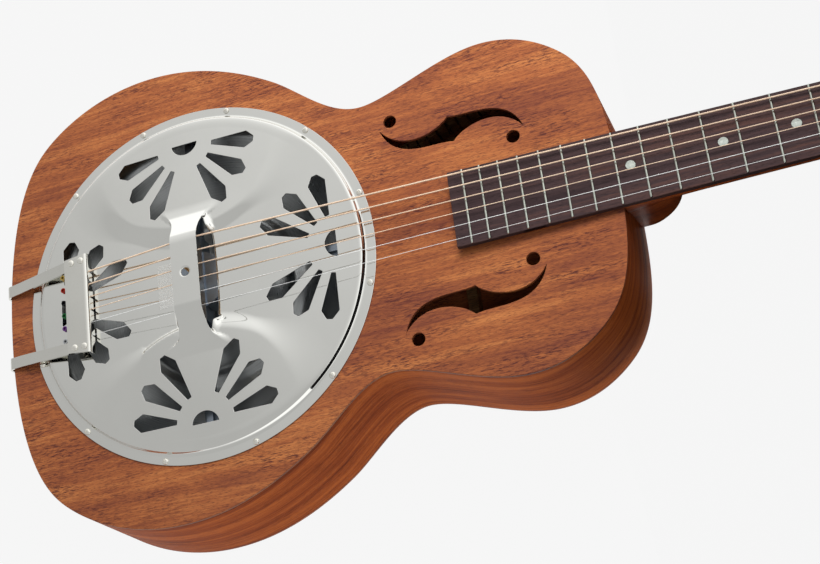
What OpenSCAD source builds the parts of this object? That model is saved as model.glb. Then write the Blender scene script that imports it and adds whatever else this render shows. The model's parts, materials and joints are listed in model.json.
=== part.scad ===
// Resonator guitar, lying on its back. X runs along the neck, +Y is the bass side, +Z leaves the top.
// The origin is on the flat back, straight below the centre of the bridge.

/* [Body] */
// Depth of the body, back to top
body_depth = 88; // [80:1:100]
// Width across the lower bout
lower_bout = 366.4; // [355:0.2:380]
// Width across the waist
waist = 210; // [200:0.5:222]
// Width across the upper bout
upper_bout = 257; // [250:0.5:266]
// Thickness of the top and the back
plate_t = 3; // [2.5:0.1:4]
// Thickness of the bent sides
side_t = 2.5; // [2:0.1:3]
// Width of the kerfed lining
lining_w = 6; // [5:0.5:7]
// Height of the kerfed lining
lining_h = 14; // [10:1:16]

/* [Resonator] */
// Radius of the round cut-out in the top
well_r = 134.5; // [133:0.5:136]
// Depth of the ledge that carries the cone, below the top
ledge_depth = 13; // [10:1:16]
// Wall thickness of the spun cone
cone_t = 1; // [0.8:0.1:1.2]
// Width of a spider leg
leg_w = 5; // [4:0.5:7]
// Radius of the tension screw
tension_r = 2; // [1.5:0.1:2.5]

/* [Coverplate] */
// Radius of the coverplate
cover_r = 141.7; // [141:0.1:142.4]
// Sheet thickness of the coverplate
cover_t = 1; // [0.8:0.1:1.2]
// Height of the string valley above the top
valley_z = 4.4; // [4:0.1:5]
// Height of the crown above the top
crown_z = 8; // [7:0.2:9]
// Radius of the screw circle
screw_circle = 138.9; // [138.5:0.1:139.2]
// Distance from the centre to the focus of each fan
fan_r = 113; // [111:0.5:114]
// Height of the palm rest above the top
rest_z = 21.6; // [21:0.2:24]
// Width of the palm rest
rest_w = 22; // [20:0.5:24]

/* [Neck] */
// Sounding length from the bridge to the nut
scale_len = 635; // [628:1:640]
// Extra length added for intonation
compensation = 1; // [0:0.5:2]
// Number of frets
fret_count = 19; // [18:1:19]
// Height of the fingerboard surface above the top at the body join
board_rise = 5.5; // [5:0.1:6]
// Thickness of the fingerboard
board_t = 5; // [4.5:0.1:5.2]
// Angle of the neck below the top
neck_angle = 1.31; // [1:0.01:1.6]
// Half width of the fingerboard at the nut
nut_half = 23.2; // [22:0.1:24]
// Half width of the fingerboard at the body join
join_half = 27.6; // [26.5:0.1:28.5]
// Backward tilt of the headstock
head_angle = 14; // [12:0.5:15]
// Length of the headstock
head_len = 172; // [165:1:180]

/* [Strings] */
// Half spread of the strings at the bridge
bridge_half = 28; // [26:0.5:28.5]
// Half spread of the strings at the nut
nut_spread = 18.3; // [17:0.1:19]
// Half spread of the strings at the tailpiece
tail_half = 26.4; // [25:0.1:26.6]
// Height of the strings above the top at the bridge
string_z = 17.4; // [17:0.1:17.6]

/* [Tuners] */
// Teeth on each tuner gear
gear_teeth = 14; // [12:1:16]
// Pitch radius of each tuner gear
gear_r = 6; // [5.8:0.1:6.2]
// Mean radius of the worm thread
worm_r = 2.6; // [2.5:0.1:2.7]
// Clearance between gear and worm
mesh_gap = 0.3; // [0.25:0.05:0.4]
// Radius of each string post
post_r = 3; // [2.9:0.1:3.1]
// Bearing clearance of every shaft, on the radius
fit = 0.06; // [0.04:0.01:0.1]

/* [Hidden] */
$fn = 64;

T = body_depth;
TAIL_X = -161;
JOIN_X = 318.3;
NUT_U = scale_len + compensation - JOIN_X;
NUT_T = 5.5;
BOARD_END = -116.3;
HEAD_DROP = 3.4;
VENEER_T = 1.8;
CORE_T = 14;
ROD_W = -11.8;
LEDGE_Z = T - ledge_depth;
TB_H = 45;
NB_H = 32;
CROSS_Z = T + 14;
ARM_T = 1.6;
BALL_X = -108.3;
LIP_X = -85.6;
SADDLE_W = 5;
BACK_H = -VENEER_T - CORE_T;
GEAR_H = BACK_H - 4.8;
GEAR_T = 2.4;
WORM_L = 9;
WAVE = 0.65;
CENTRE_D = gear_r + worm_r + mesh_gap;
PITCH = 2 * PI * gear_r / gear_teeth;
SHAFT_R = 1.6;
PILOT_R = 0.86;

// One knot of the half outline: x, y, heading, handle before, handle after
KNOTS = [[TAIL_X, 0, 90, 0, 54], [-125.5, 146.2, 45, 40.5, 23.3],
    [-29, lower_bout / 2, 0, 45.7, 41.6], [76.2, 147.4, -34.4, 34.8, 23.5],
    [142.2, waist / 2, 0, 24.1, 22.8], [236.4, upper_bout / 2, 0, 30.9, 26.9],
    [293.3, 104, -44.1, 15.9, 29.7], [JOIN_X, 0, -90, 50.7, 0]];
SPAN_STEPS = [12, 8, 8, 6, 8, 5, 9];
KERF_STEPS = [19, 13, 14, 10, 12, 8, 14];

// String radius, nut and post order from bass to treble
STRING_R = [0.67, 0.53, 0.41, 0.31, 0.21, 0.17];
POST_S = [45, 85, 125, 125, 85, 45];
POST_SIDE = [1, 1, 1, -1, -1, -1];
POST_Y = 23;

function bez(a, b, c, d, t) =
    pow(1 - t, 3) * a + 3 * pow(1 - t, 2) * t * b + 3 * (1 - t) * t * t * c + t * t * t * d;
function slope(a, b, c, d, t) =
    pow(1 - t, 2) * (b - a) + 2 * (1 - t) * t * (c - b) + t * t * (d - c);
function head(a) = [cos(a), sin(a)];
function pt(k) = [k[0], k[1]];
function ctrl(j) = [pt(KNOTS[j]), pt(KNOTS[j]) + KNOTS[j][4] * head(KNOTS[j][2]),
    pt(KNOTS[j + 1]) - KNOTS[j + 1][3] * head(KNOTS[j + 1][2]), pt(KNOTS[j + 1])];
function unit(v) = v / norm(v);
function inward(v) = [v[1], -v[0]];
// Point on the half outline, moved inward by d
function rim(j, t, d) = let (c = ctrl(j)) bez(c[0], c[1], c[2], c[3], t)
    + d * inward(unit(slope(c[0], c[1], c[2], c[3], t)));
function half_rim(d) = concat([for (j = [0:6]) for (k = [0:SPAN_STEPS[j] - 1])
    rim(j, k / SPAN_STEPS[j], d)], [rim(6, 1, d)]);
function flip(p) = [for (i = [len(p) - 1:-1:0]) [p[i][0], -p[i][1]]];
function outline(d) = let (h = half_rim(d)) concat(h, [for (i = [len(h) - 2:-1:1])
    [h[i][0], -h[i][1]]]);
function kerf_path(d, root) = [for (j = [0:6]) for (k = [0:KERF_STEPS[j] - 1])
    for (q = [[0, d], [0.82, d], [0.82, root], [1, root]]) rim(j, (k + q[0]) / KERF_STEPS[j], q[1])];
function reverse(p) = [for (i = [len(p) - 1:-1:0]) p[i]];

function board_half(u) = join_half - (join_half - nut_half) * u / NUT_U;
function fret_u(n) = NUT_U - scale_len * (1 - pow(2, -n / 12));
function spread(i, half) = half * (1 - 2 * i / 5);

module body_prism(d, z0, z1) {
    translate([0, 0, z0]) linear_extrude(z1 - z0) polygon(outline(d));
}

module on_neck() {
    translate([JOIN_X, 0, T + board_rise]) rotate([0, neck_angle, 0]) children();
}

module on_head() {
    on_neck() translate([NUT_U + NUT_T, 0, -HEAD_DROP]) rotate([0, head_angle, 0]) children();
}

module both_sides() {
    children();
    mirror([0, 1, 0]) children();
}

module at_post(i) {
    on_head() translate([POST_S[i], POST_SIDE[i] * POST_Y, 0])
        mirror([0, POST_SIDE[i] > 0 ? 0 : 1, 0]) children();
}

// Body ------------------------------------------------------------------------------------------

F_A = [154.8, 80.3];
F_N = [208.6, 56.6];
F_C = [207.4, 67.05];
function about(p) = 2 * F_C - p;
function f_side(a, b, c, d) = [for (k = [0:9]) bez(a, b, c, d, k / 10)];

module f_hole_2d() {
    far = f_side(F_A, [164, 51.1], [193.6, 60.6], F_N);
    near = f_side(F_N, [217, 66.5], [244.5, 76], about(F_A));
    polygon(concat(far, near, [for (p = far) about(p)], [for (p = near) about(p)]));
    translate([163.4, 86.2]) circle(4.9);
    translate([251.3, 47.6]) circle(4.9);
}

module top() {
    color("sienna") difference() {
        body_prism(0, T - plate_t, T);
        translate([0, 0, T - plate_t - 1]) cylinder(plate_t + 2, r = well_r, $fn = 128);
        translate([0, 0, T - plate_t - 1]) linear_extrude(plate_t + 2) both_sides() f_hole_2d();
        for (a = [15:30:345]) rotate(a) translate([screw_circle, 0, T - plate_t - 1])
            cylinder(plate_t + 2, r = 1.1, $fn = 24);
    }
}

module back() {
    color("saddlebrown") body_prism(0, 0, plate_t);
}

module end_screw_hole() {
    translate([TAIL_X - 1, 0, T / 2]) rotate([0, 90, 0]) cylinder(24, r = 1.9, $fn = 32);
}

module side_half() {
    color("maroon") intersection() {
        difference() {
            body_prism(0, plate_t, T - plate_t);
            body_prism(side_t, 0, T);
            end_screw_hole();
        }
        translate([-200, 0, 0]) cube([600, 200, T]);
    }
}

module side_bass() {
    side_half();
}

module side_treble() {
    mirror([0, 1, 0]) side_half();
}

module lining_2d() {
    path = concat(kerf_path(side_t + lining_w, side_t + 1.2), reverse(half_rim(side_t)));
    both_sides() difference() {
        polygon(path);
        translate([TAIL_X, 0]) square([30, TB_H]);
        translate([JOIN_X - 40, 0]) square([40, NB_H]);
    }
}

module lining_top() {
    color("burlywood") translate([0, 0, T - plate_t - lining_h]) linear_extrude(lining_h) lining_2d();
}

module lining_back() {
    color("burlywood") translate([0, 0, plate_t]) linear_extrude(lining_h) lining_2d();
}

module neck_block() {
    color("peru") intersection() {
        body_prism(side_t, plate_t, T - plate_t);
        translate([JOIN_X - 38, -NB_H, 0]) cube([40, 2 * NB_H, T]);
    }
}

module tail_block() {
    color("peru") difference() {
        intersection() {
            body_prism(side_t, plate_t, T - plate_t);
            translate([TAIL_X, -TB_H, 0]) cube([17, 2 * TB_H, T]);
        }
        end_screw_hole();
    }
}

module soundwell() {
    color("tan") difference() {
        translate([0, 0, plate_t]) cylinder(T - 2 * plate_t, r = well_r + 8.5, $fn = 128);
        translate([0, 0, LEDGE_Z]) cylinder(ledge_depth, r = well_r, $fn = 128);
        cylinder(T, r = well_r - 8.5, $fn = 128);
        for (a = [18:36:342]) rotate(a) translate([well_r - 14, 0, 38]) rotate([0, 90, 0])
            cylinder(28, r = 21, $fn = 48);
        for (a = [15:30:345]) rotate(a) translate([screw_circle, 0, T - 16])
            cylinder(20, r = 1.1, $fn = 24);
    }
}

module brace(x, half) {
    translate([x - 4, 0, plate_t]) rotate([90, 0, 90]) linear_extrude(8)
        polygon([[-half, 0], [-half, 4], [-half + 30, 11], [half - 30, 11], [half, 4], [half, 0]]);
}

module back_braces() {
    color("burlywood") {
        brace(-62, 105);
        brace(62, 105);
        brace(188, 104);
        brace(246, 112);
    }
}

// Resonator -------------------------------------------------------------------------------------

CONE_PATH = [[2.1, -14.2], [9, -14.2], [13, -16], [54, -35], [59, -36], [63, -33.4], [66, -32],
    [69, -33.4], [73, -35.4], [80, -34.4], [104, -24], [121, -14.6], [125, -12], [133, -12]];

module cone() {
    lower = [for (p = CONE_PATH) [p[0], p[1] - cone_t]];
    color("silver") translate([0, 0, T]) rotate_extrude($fn = 128)
        polygon(concat(CONE_PATH, reverse(lower)));
}

module spider_leg() {
    profile = [[16, -12], [16, 0], [30, -0.5], [110, -3.2], [128, -5.6], [131, -8], [131, -12],
        [127, -12], [124, -9], [104, -8], [40, -8.4]];
    rotate([90, 0, 0]) translate([0, 0, -leg_w / 2]) linear_extrude(leg_w) polygon(profile);
    rotate([90, 0, 0]) translate([0, 0, -leg_w]) linear_extrude(2 * leg_w)
        polygon([[18, -10.4], [18, -8], [40, -6.4], [104, -6], [122, -7.4], [122, -9], [104, -8],
            [40, -8.4]]);
}

module spider() {
    color("gainsboro") translate([0, 0, T]) difference() {
        union() {
            translate([0, 0, -12.6]) cylinder(13.6, r = 23);
            translate([-6.5, -34, -12.6]) cube([13, 68, 15.6]);
            for (a = [0:45:315]) rotate(a) spider_leg();
        }
        translate([-SADDLE_W / 2, -32, -6]) cube([SADDLE_W, 64, 20]);
        translate([0, 0, -6.5]) cylinder(20, r = 4.2, $fn = 48);
        translate([0, 0, -20]) cylinder(20, r = tension_r + fit, $fn = 48);
    }
}

module saddle_half(first) {
    top_z = [for (i = [first:first + 2]) string_z - STRING_R[i]];
    crest = max(top_z) + 0.5;
    color("wheat") difference() {
        translate([-SADDLE_W / 2, 4.5, T - 6]) cube([SADDLE_W, 27, crest + 6]);
        translate([SADDLE_W / 2, 0, T + crest - 3]) rotate([0, 40, 0]) translate([0, 0, -10])
            cube([10, 40, 30]);
        for (i = [first:first + 2]) translate([0, abs(spread(i, bridge_half)), T + string_z]) {
            translate([-10, 0, 0]) rotate([0, 90, 0]) cylinder(20, r = STRING_R[i] + fit, $fn = 24);
            rotate([0, -95, 0]) translate([0, 0, -4]) cylinder(12, r = STRING_R[i] + fit, $fn = 24);
            translate([-10, -STRING_R[i] - fit, 0]) cube([20, 2 * (STRING_R[i] + fit), 3]);
        }
    }
}

module saddle_bass() {
    saddle_half(0);
}

module saddle_treble() {
    mirror([0, 1, 0]) saddle_half(3);
}

module tension_screw() {
    color("dimgray") translate([0, 0, T]) difference() {
        union() {
            translate([0, 0, -6.4]) cylinder(3, r = 3.6, $fn = 48);
            translate([0, 0, -24]) cylinder(18, r = tension_r, $fn = 48);
        }
        translate([-0.6, -5, -4.6]) cube([1.2, 10, 4]);
    }
}

// Coverplate ------------------------------------------------------------------------------------

RAMP_AXIS = 168;
RAMP_FOOT = 130;

function step(d) = [for (k = [0:8]) bez([136.8 - d, 1 - d], [134.6 - d, 1 - d],
    [134.8 - d, valley_z - d], [131 - d, valley_z + 0.1 - d], k / 8)];

module cover_solid(d) {
    intersection() {
        rotate_extrude($fn = 160) polygon(concat([[0, -1], [cover_r + 1 - 2 * d, -1],
            [cover_r + 1 - 2 * d, 1 - d]], step(d), [[46, crown_z - d], [0, crown_z - d]]));
        union() {
            translate([-200, -200, -2]) cube([400, 400, 2 + valley_z - d]);
            both_sides() translate([0, RAMP_AXIS, valley_z - d - 1])
                cylinder(6, r1 = RAMP_FOOT + 3.6 - d, r2 = RAMP_FOOT - 18 - d, $fn = 160);
        }
    }
}

module petal(reach) {
    polygon([[-1.8, 23], [-7.1, 0.52 * reach + 21.5], [-2.3, reach], [2.3, reach],
        [7.1, 0.52 * reach + 21.5], [1.8, 23]]);
}

module fan_2d() {
    translate([0, -fan_r]) both_ends() {
        rotate(-28) petal(64.2);
        rotate(-53) petal(60.2);
        rotate(-79) petal(58.4);
    }
    intersection() {
        translate([0, -fan_r - 2.2]) circle(10.9, $fn = 64);
        translate([-12, -fan_r - 0.5]) square([24, 14]);
    }
}

module both_ends() {
    children();
    mirror([1, 0, 0]) children();
}

module rest_opening_2d() {
    edge = [for (k = [0:8]) bez([16.5, 0], [16.5, 22], [16.5, 38], [12, 46], k / 8)];
    both_ends() both_sides() polygon(concat([[0, 0]], edge, [[0, 46]]));
}

module rest_strap() {
    crest = [for (k = [0:12]) bez([26, rest_z], [39, rest_z], [39, crown_z], [54, 7.7], k / 12)];
    under = [for (k = [12:-1:0]) bez([25.5, rest_z - cover_t], [38, rest_z - cover_t],
        [38, crown_z - cover_t], [54, 6.8], k / 12)];
    arch = concat([[0, rest_z]], crest, under, [[0, rest_z - cover_t]]);
    flare = [for (k = [0:10]) bez([rest_w / 2, 34], [rest_w / 2, 44], [13, 48], [19, 55], k / 10)];
    intersection() {
        translate([25, 0, 0]) rotate([90, 0, -90]) linear_extrude(50) both_ends() polygon(arch);
        translate([0, 0, -1]) linear_extrude(40) both_sides() both_ends()
            polygon(concat([[0, 0], [rest_w / 2, 0]], flare, [[0, 55]]));
    }
}

module coverplate() {
    color("lightsteelblue") translate([0, 0, T]) difference() {
        union() {
            difference() {
                intersection() {
                    cover_solid(0);
                    cylinder(20, r = cover_r, $fn = 160);
                }
                difference() {
                    cover_solid(cover_t);
                    difference() {
                        translate([0, 0, -2]) cylinder(3, r = 150);
                        translate([0, 0, -3]) cylinder(5, r = 135.6, $fn = 160);
                    }
                }
                translate([0, 0, -1]) linear_extrude(20) {
                    for (a = [0:90:270]) rotate(a) fan_2d();
                    rest_opening_2d();
                }
            }
            rest_strap();
        }
        for (a = [15:30:345]) rotate(a) translate([screw_circle, 0, -1])
            cylinder(4, r = 1.7, $fn = 24);
        cylinder(40, r = 3.25, $fn = 32);
    }
}

module coverplate_screws() {
    color("silver") for (a = [15:30:345]) rotate(a) translate([screw_circle, 0, T])
        rotate_extrude($fn = 32) polygon([[0, -12], [1, -10], [1, 1], [2.5, 1], [2.3, 1.7],
            [1.6, 2.3], [0, 2.6]]);
}

// Tailpiece -------------------------------------------------------------------------------------

ARM_Y0 = 29.7;
ARM_Y1 = 35;
ARM_HALF = 4.6;

module arm_plan() {
    polygon([[TAIL_X - 8, ARM_Y0 - ARM_HALF], [-150, ARM_Y0 - ARM_HALF + 0.8],
        [-84.4, ARM_Y1 - ARM_HALF], [-84.4, ARM_Y1 + ARM_HALF],
        [-150, ARM_Y0 + ARM_HALF + 0.8], [TAIL_X - 8, ARM_Y0 + ARM_HALF]]);
}

module tailpiece_frame() {
    out = TAIL_X - 0.4;
    turn = [for (a = [90:15:180]) [out + 2.4 + 4 * cos(a), T - 1 + 4 * sin(a)]];
    turn_in = [for (a = [180:-15:90]) [out + 2.4 + 2.4 * cos(a), T - 1 + 2.4 * sin(a)]];
    side = concat([[-88.4, CROSS_Z - 1.5], [-104, CROSS_Z - 1.5]], turn, [[out - ARM_T, T - 66],
        [out, T - 66]], turn_in, [[-103.6, CROSS_Z - 3.1], [-88.4, CROSS_Z - 3.1]]);
    color("silver") difference() {
        union() {
            intersection() {
                translate([0, 45, 0]) rotate([90, 0, 0]) linear_extrude(90) polygon(side);
                linear_extrude(200) both_sides() arm_plan();
            }
            translate([out - ARM_T, -34, T / 2 - 20]) cube([ARM_T, 68, 34]);
        }
        translate([out - 5, 0, T / 2]) rotate([0, 90, 0]) cylinder(10, r = 2.1, $fn = 32);
        rivet_spots() translate([0, 0, -8]) cylinder(16, r = 1.3, $fn = 24);
    }
}

module rivet_spots() {
    for (p = [[-98.6, 34.9], [-90.4, 35.3]], s = [-1, 1])
        translate([p[0], s * p[1], CROSS_Z]) children();
}

module tailpiece_crossbar() {
    color("lightsteelblue") difference() {
        intersection() {
            translate([0, 60, CROSS_Z]) rotate([90, 0, 0]) linear_extrude(120) polygon(concat(
                [[-104.6, 0]], [for (a = [90:-15:0]) [-88 + 2.8 * cos(a), -2.8 + 2.8 * sin(a)]],
                [[-85.2, -8], [-86.6, -8]],
                [for (a = [0:15:90]) [-88 + 1.4 * cos(a), -2.8 + 1.4 * sin(a)]],
                [[-103.2, -1.4], [-103.2, -8.6], [-104.6, -8.6]]));
            linear_extrude(200) polygon([[-105, -38.4], [-85, -40.6], [-85, 40.6], [-105, 38.4]]);
        }
        both_sides() translate([-110, 29.6, CROSS_Z - 12]) cube([23, 20, 10.5]);
        rivet_spots() translate([0, 0, -8]) cylinder(16, r = 1.3, $fn = 24);
        for (i = [0:5]) {
            translate([-108, spread(i, tail_half) - STRING_R[i] - 0.4, CROSS_Z - 12])
                cube([8, 2 * STRING_R[i] + 0.8, 8.4]);
            translate([-90, spread(i, tail_half) - STRING_R[i] - 0.5, CROSS_Z - 12])
                cube([8, 2 * STRING_R[i] + 1, 8.4]);
        }
    }
}

module tailpiece_rivets() {
    color("white") rivet_spots() rotate_extrude($fn = 32) polygon([[0, -3.6], [2.2, -3.6],
        [2.2, -3.1], [1.3, -3.1], [1.3, 0], [2.6, 0], [2.2, 0.8], [1.2, 1.3], [0, 1.4]]);
}

module ball_ends() {
    color("gold") for (i = [0:5]) translate([BALL_X, spread(i, tail_half), T + 9.2])
        rotate_extrude($fn = 32) polygon([[1, -1.7], [2, -1.7], [2, -1], [1.6, -0.5],
            [1.6, 0.5], [2, 1], [2, 1.7], [1, 1.7]]);
}

module strap_button() {
    color("silver") translate([TAIL_X - 0.4 - ARM_T, 0, T / 2]) rotate([0, -90, 0]) {
        rotate_extrude($fn = 48) polygon([[0, -15], [1.8, -13], [1.8, 0], [7, 0], [6.6, 1.4],
            [4.4, 3], [3.8, 6], [4.6, 8.6], [7.4, 10.6], [7.4, 12.2], [6.4, 13.2], [0, 13.8]]);
    }
}

// Neck ------------------------------------------------------------------------------------------

LOFT_N = 12;

function shaft_depth(u) = u > 62 ? 15.2 + 2.8 * (NUT_U - u) / NUT_U
    : 17.6 + 17 * pow((62 - u) / 62, 2.4);
function half_round(u, half, top, depth) = [for (k = [0:LOFT_N]) let (a = 180 * k / LOFT_N)
    [u, -half * cos(a), top - depth * pow(sin(a), 0.92)]];
function shaft_ring(u) = half_round(u, board_half(u), -board_t, shaft_depth(u));
function heel_reach(z) = 38 * pow(max(0, 1 - pow(z / 84, 4.2)), 0.62);
function heel_half(z) = 26.8 - 0.2 * z + (z > 74 ? -0.05 * pow(z - 74, 2) : 0);
function heel_ring(z) = [for (k = [0:LOFT_N]) let (a = -90 + 180 * k / LOFT_N)
    [JOIN_X - 4 + (heel_reach(z) + 4) * pow(cos(a), 0.8), heel_half(z) * sin(a), T - z]];

// Closed skin through rings that all hold the same number of points
module loft(rings) {
    n = len(rings[0]);
    m = len(rings);
    polyhedron([for (r = rings) for (p = r) p], concat(
        [[for (k = [0:n - 1]) k]],
        [for (i = [0:m - 2]) for (k = [0:n - 1]) let (a = i * n + k, b = i * n + (k + 1) % n)
            each [[a, a + n, b + n], [a, b + n, b]]],
        [[for (k = [n - 1:-1:0]) (m - 1) * n + k]]));
}

HEEL_Z = [2, 12, 24, 36, 46, 54, 61, 67, 72, 76, 79, 81.5, 83.2];
SHAFT_END = NUT_U + NUT_T;
SHAFT_U = [-2, 6, 14, 22, 30, 38, 46, 54, 62, 120, 180, 250, SHAFT_END];

module head_2d() {
    edge = concat([[0, 23.3]],
        [for (k = [1:8]) bez([0, 23.3], [12, 24], [16, 34.5], [32, 35], k / 8)],
        [for (k = [0:6]) bez([head_len - 12, 37], [head_len - 4, 37.3], [head_len - 2, 34],
            [head_len - 3, 28], k / 6)],
        [for (k = [1:6]) bez([head_len - 3, 28], [head_len - 5, 16], [head_len, 6],
            [head_len, 0], k / 6)]);
    polygon(concat(edge, flip([for (i = [0:len(edge) - 2]) edge[i]])));
}

module truss_pocket() {
    translate([NUT_U + NUT_T + 1, -5.5, -16.4]) cube([22, 11, 30]);
}

module neck() {
    color("chocolate") difference() {
        union() {
            on_neck() loft(concat([for (u = SHAFT_U) shaft_ring(u)],
                [half_round(SHAFT_END + 0.3, 23, -board_t - 0.7, 14.5),
                half_round(SHAFT_END + 20, 21, -14, 8)]));
            loft([for (z = HEEL_Z) reverse(heel_ring(z))]);
            on_neck() translate([0, 0, -board_t - 5]) linear_extrude(5) polygon([
                [BOARD_END, -board_half(BOARD_END) + 0.6], [1.5, -board_half(1.5) + 0.6],
                [1.5, board_half(1.5) - 0.6], [BOARD_END, board_half(BOARD_END) - 0.6]]);
            on_head() translate([0, 0, BACK_H]) linear_extrude(CORE_T) head_2d();
        }
        body_prism(0, -20, T);
        on_neck() translate([6, -3, ROD_W - 2.8]) cube([NUT_U + 10, 6, 20]);
        on_neck() truss_pocket();
        for (i = [0:5]) at_post(i) {
            translate([0, 0, BACK_H - 1]) cylinder(CORE_T + 2, r = 4.4);
            for (p = PLATE_HOLES) translate([p[0], p[1], BACK_H - 1])
                cylinder(6.4, r = PILOT_R, $fn = 24);
        }
        on_head() for (p = COVER_HOLES) translate([p[0], p[1], -4.4])
            cylinder(4, r = PILOT_R, $fn = 24);
    }
}

module fingerboard() {
    color("black") on_neck() difference() {
        translate([0, 0, -board_t]) linear_extrude(board_t) polygon([
            [BOARD_END, -board_half(BOARD_END)], [NUT_U, -board_half(NUT_U)],
            [NUT_U, board_half(NUT_U)], [BOARD_END, board_half(BOARD_END)]]);
        for (n = [1:fret_count]) translate([fret_u(n) - 0.3, -40, -2]) cube([0.6, 80, 3]);
        for (n = DOT_FRETS) dot_at(n, -1.5) cylinder(3, r = 3.4, $fn = 48);
    }
}

DOT_FRETS = [3, 5, 7, 9, 12];

module dot_at(n, z) {
    translate([(fret_u(n) + fret_u(n - 1)) / 2, 0, z]) children();
}

module position_dots() {
    color("ivory") on_neck() for (n = DOT_FRETS) dot_at(n, -1.5) cylinder(1.55, r = 3.4, $fn = 48);
}

module frets() {
    crown = concat([[-1.1, 0]], [for (k = [0:8]) [-1.1 * cos(22.5 * k), 0.3 + 0.8 * sin(22.5 * k)]],
        [[1.1, 0], [0.3, 0], [0.3, -2], [-0.3, -2], [-0.3, 0]]);
    color("gainsboro") on_neck() for (n = [1:fret_count]) let (w = board_half(fret_u(n)) - 0.9)
        translate([fret_u(n), 0, 0]) {
            translate([0, w, 0]) rotate([90, 0, 0]) linear_extrude(2 * w) polygon(crown);
            for (s = [-1, 1]) translate([0, s * (w - 0.5), 0]) intersection() {
                sphere(1.35, $fn = 24);
                translate([-2, -2, 0]) cube([4, 4, 1.2]);
            }
        }
}

module nut() {
    color("linen") on_neck() difference() {
        translate([NUT_U, -board_half(NUT_U), -board_t]) cube([NUT_T, 2 * board_half(NUT_U), 8]);
        translate([NUT_U + NUT_T, -30, 0.6]) rotate([0, -62, 0]) cube([10, 60, 10]);
        for (i = [0:5]) translate([NUT_U - 1, spread(i, nut_spread), 1.9]) {
            rotate([0, 92, 0]) cylinder(10, r = STRING_R[i] + 0.02, $fn = 24);
            translate([0, -STRING_R[i] - 0.02, -0.2]) cube([10, 2 * STRING_R[i] + 0.04, 5]);
        }
    }
}

module truss_rod() {
    color("gray") on_neck() translate([8, 0, ROD_W]) rotate([0, 90, 0]) {
        cylinder(NUT_U + NUT_T + 8, r = 2.4, $fn = 32);
        translate([-2.8, -3, 0]) cube([5.6, 6, 8]);
    }
}

module truss_rod_nut() {
    color("goldenrod") on_neck() translate([NUT_U + NUT_T + 2.4, 0, ROD_W]) rotate([0, 90, 0])
        difference() {
            cylinder(9, r = 4, $fn = 6);
            translate([0, 0, -1]) cylinder(12, r = 2.4 + fit, $fn = 48);
        }
}

module truss_cover_2d() {
    edge = concat([for (k = [0:6]) bez([0.6, 12], [10, 12.4], [12, 9], [22, 8], k / 6)],
        [for (a = [75:-15:0]) [30 + 6 * cos(a), 7 * sin(a)]]);
    polygon(concat(edge, flip([for (i = [0:len(edge) - 2]) edge[i]])));
}

COVER_HOLES = [[4.5, 8.6], [4.5, -8.6], [32.5, 0]];

module truss_rod_cover() {
    color("dimgray") on_head() difference() {
        linear_extrude(2) truss_cover_2d();
        for (p = COVER_HOLES) translate([p[0], p[1], -1]) cylinder(4, r = 1.2, $fn = 24);
    }
}

module truss_cover_screws() {
    color("silver") on_head() for (p = COVER_HOLES) translate([p[0], p[1], 2])
        rotate_extrude($fn = 24) polygon([[0, -6], [0.8, -5], [0.8, -2], [1, -2], [1, 0], [2, 0],
            [1.8, 0.5], [0, 0.9]]);
}

module headstock_veneer() {
    color("black") on_head() difference() {
        intersection() {
            translate([0, 0, -VENEER_T]) linear_extrude(VENEER_T) head_2d();
            translate([0.6, -50, -5]) cube([200, 100, 10]);
        }
        rotate([0, -head_angle, 0]) translate([-NUT_U - NUT_T, 0, HEAD_DROP]) truss_pocket();
        for (i = [0:5]) translate([POST_S[i], POST_SIDE[i] * POST_Y, -3]) cylinder(5, r = 4.4);
        for (p = COVER_HOLES) translate([p[0], p[1], -3]) cylinder(5, r = PILOT_R, $fn = 24);
    }
}

// Strings ---------------------------------------------------------------------------------------

COIL_H = 7.4;
COIL_N = 16;
COIL_TURNS = 2.5;

function tilt(p, a) = [p[0] * cos(a) + p[2] * sin(a), p[1], -p[0] * sin(a) + p[2] * cos(a)];
function from_neck(p) = [JOIN_X, 0, T + board_rise] + tilt(p, neck_angle);
function from_head(p) = from_neck([SHAFT_END, 0, -HEAD_DROP] + tilt(p, head_angle));
HEAD_UP = tilt(tilt([0, 0, 1], head_angle), neck_angle);

// Turns of string round post i, clear of the post even at the middle of each chord
function coil(i) = let (r = STRING_R[i], side = POST_SIDE[i], reach = post_r + fit + r,
    wide = reach / cos(180 / COIL_N),
    a0 = atan2(POST_Y - reach - abs(spread(i, nut_spread)), POST_S[i]) - 90)
    [for (k = [0:COIL_N * COIL_TURNS]) let (a = a0 + 360 * (k + 0.5) / COIL_N)
        from_head([POST_S[i] + wide * cos(a), side * (POST_Y + wide * sin(a)),
            COIL_H - 2.15 * r * k / COIL_N])];

function string_path(i) = concat([[BALL_X + 2.1, spread(i, tail_half), T + 9.2],
    [LIP_X - 1, spread(i, tail_half), T + 9.8],
    [0, spread(i, bridge_half), T + string_z],
    from_neck([NUT_U + 0.2, spread(i, nut_spread), 1.9]),
    from_neck([NUT_U + 3.4, spread(i, nut_spread), 1.75])], coil(i));

function heading(p, i) = unit((i < len(p) - 1 ? unit(p[i + 1] - p[i]) : [0, 0, 0])
    + (i > 0 ? unit(p[i] - p[i - 1]) : [0, 0, 0]));
function tube_ring(p, t, r) = let (n = unit(cross(HEAD_UP, t)), b = cross(t, n))
    [for (k = [0:7]) p + r * (cos(45 * k) * n + sin(45 * k) * b)];

module string_wire(i) {
    p = string_path(i);
    color("darkgoldenrod") loft([for (k = [0:len(p) - 1]) tube_ring(p[k], heading(p, k),
        STRING_R[i])]);
}

module string_1() {
    string_wire(0);
}

module string_2() {
    string_wire(1);
}

module string_3() {
    string_wire(2);
}

module string_4() {
    string_wire(3);
}

module string_5() {
    string_wire(4);
}

module string_6() {
    string_wire(5);
}

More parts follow.
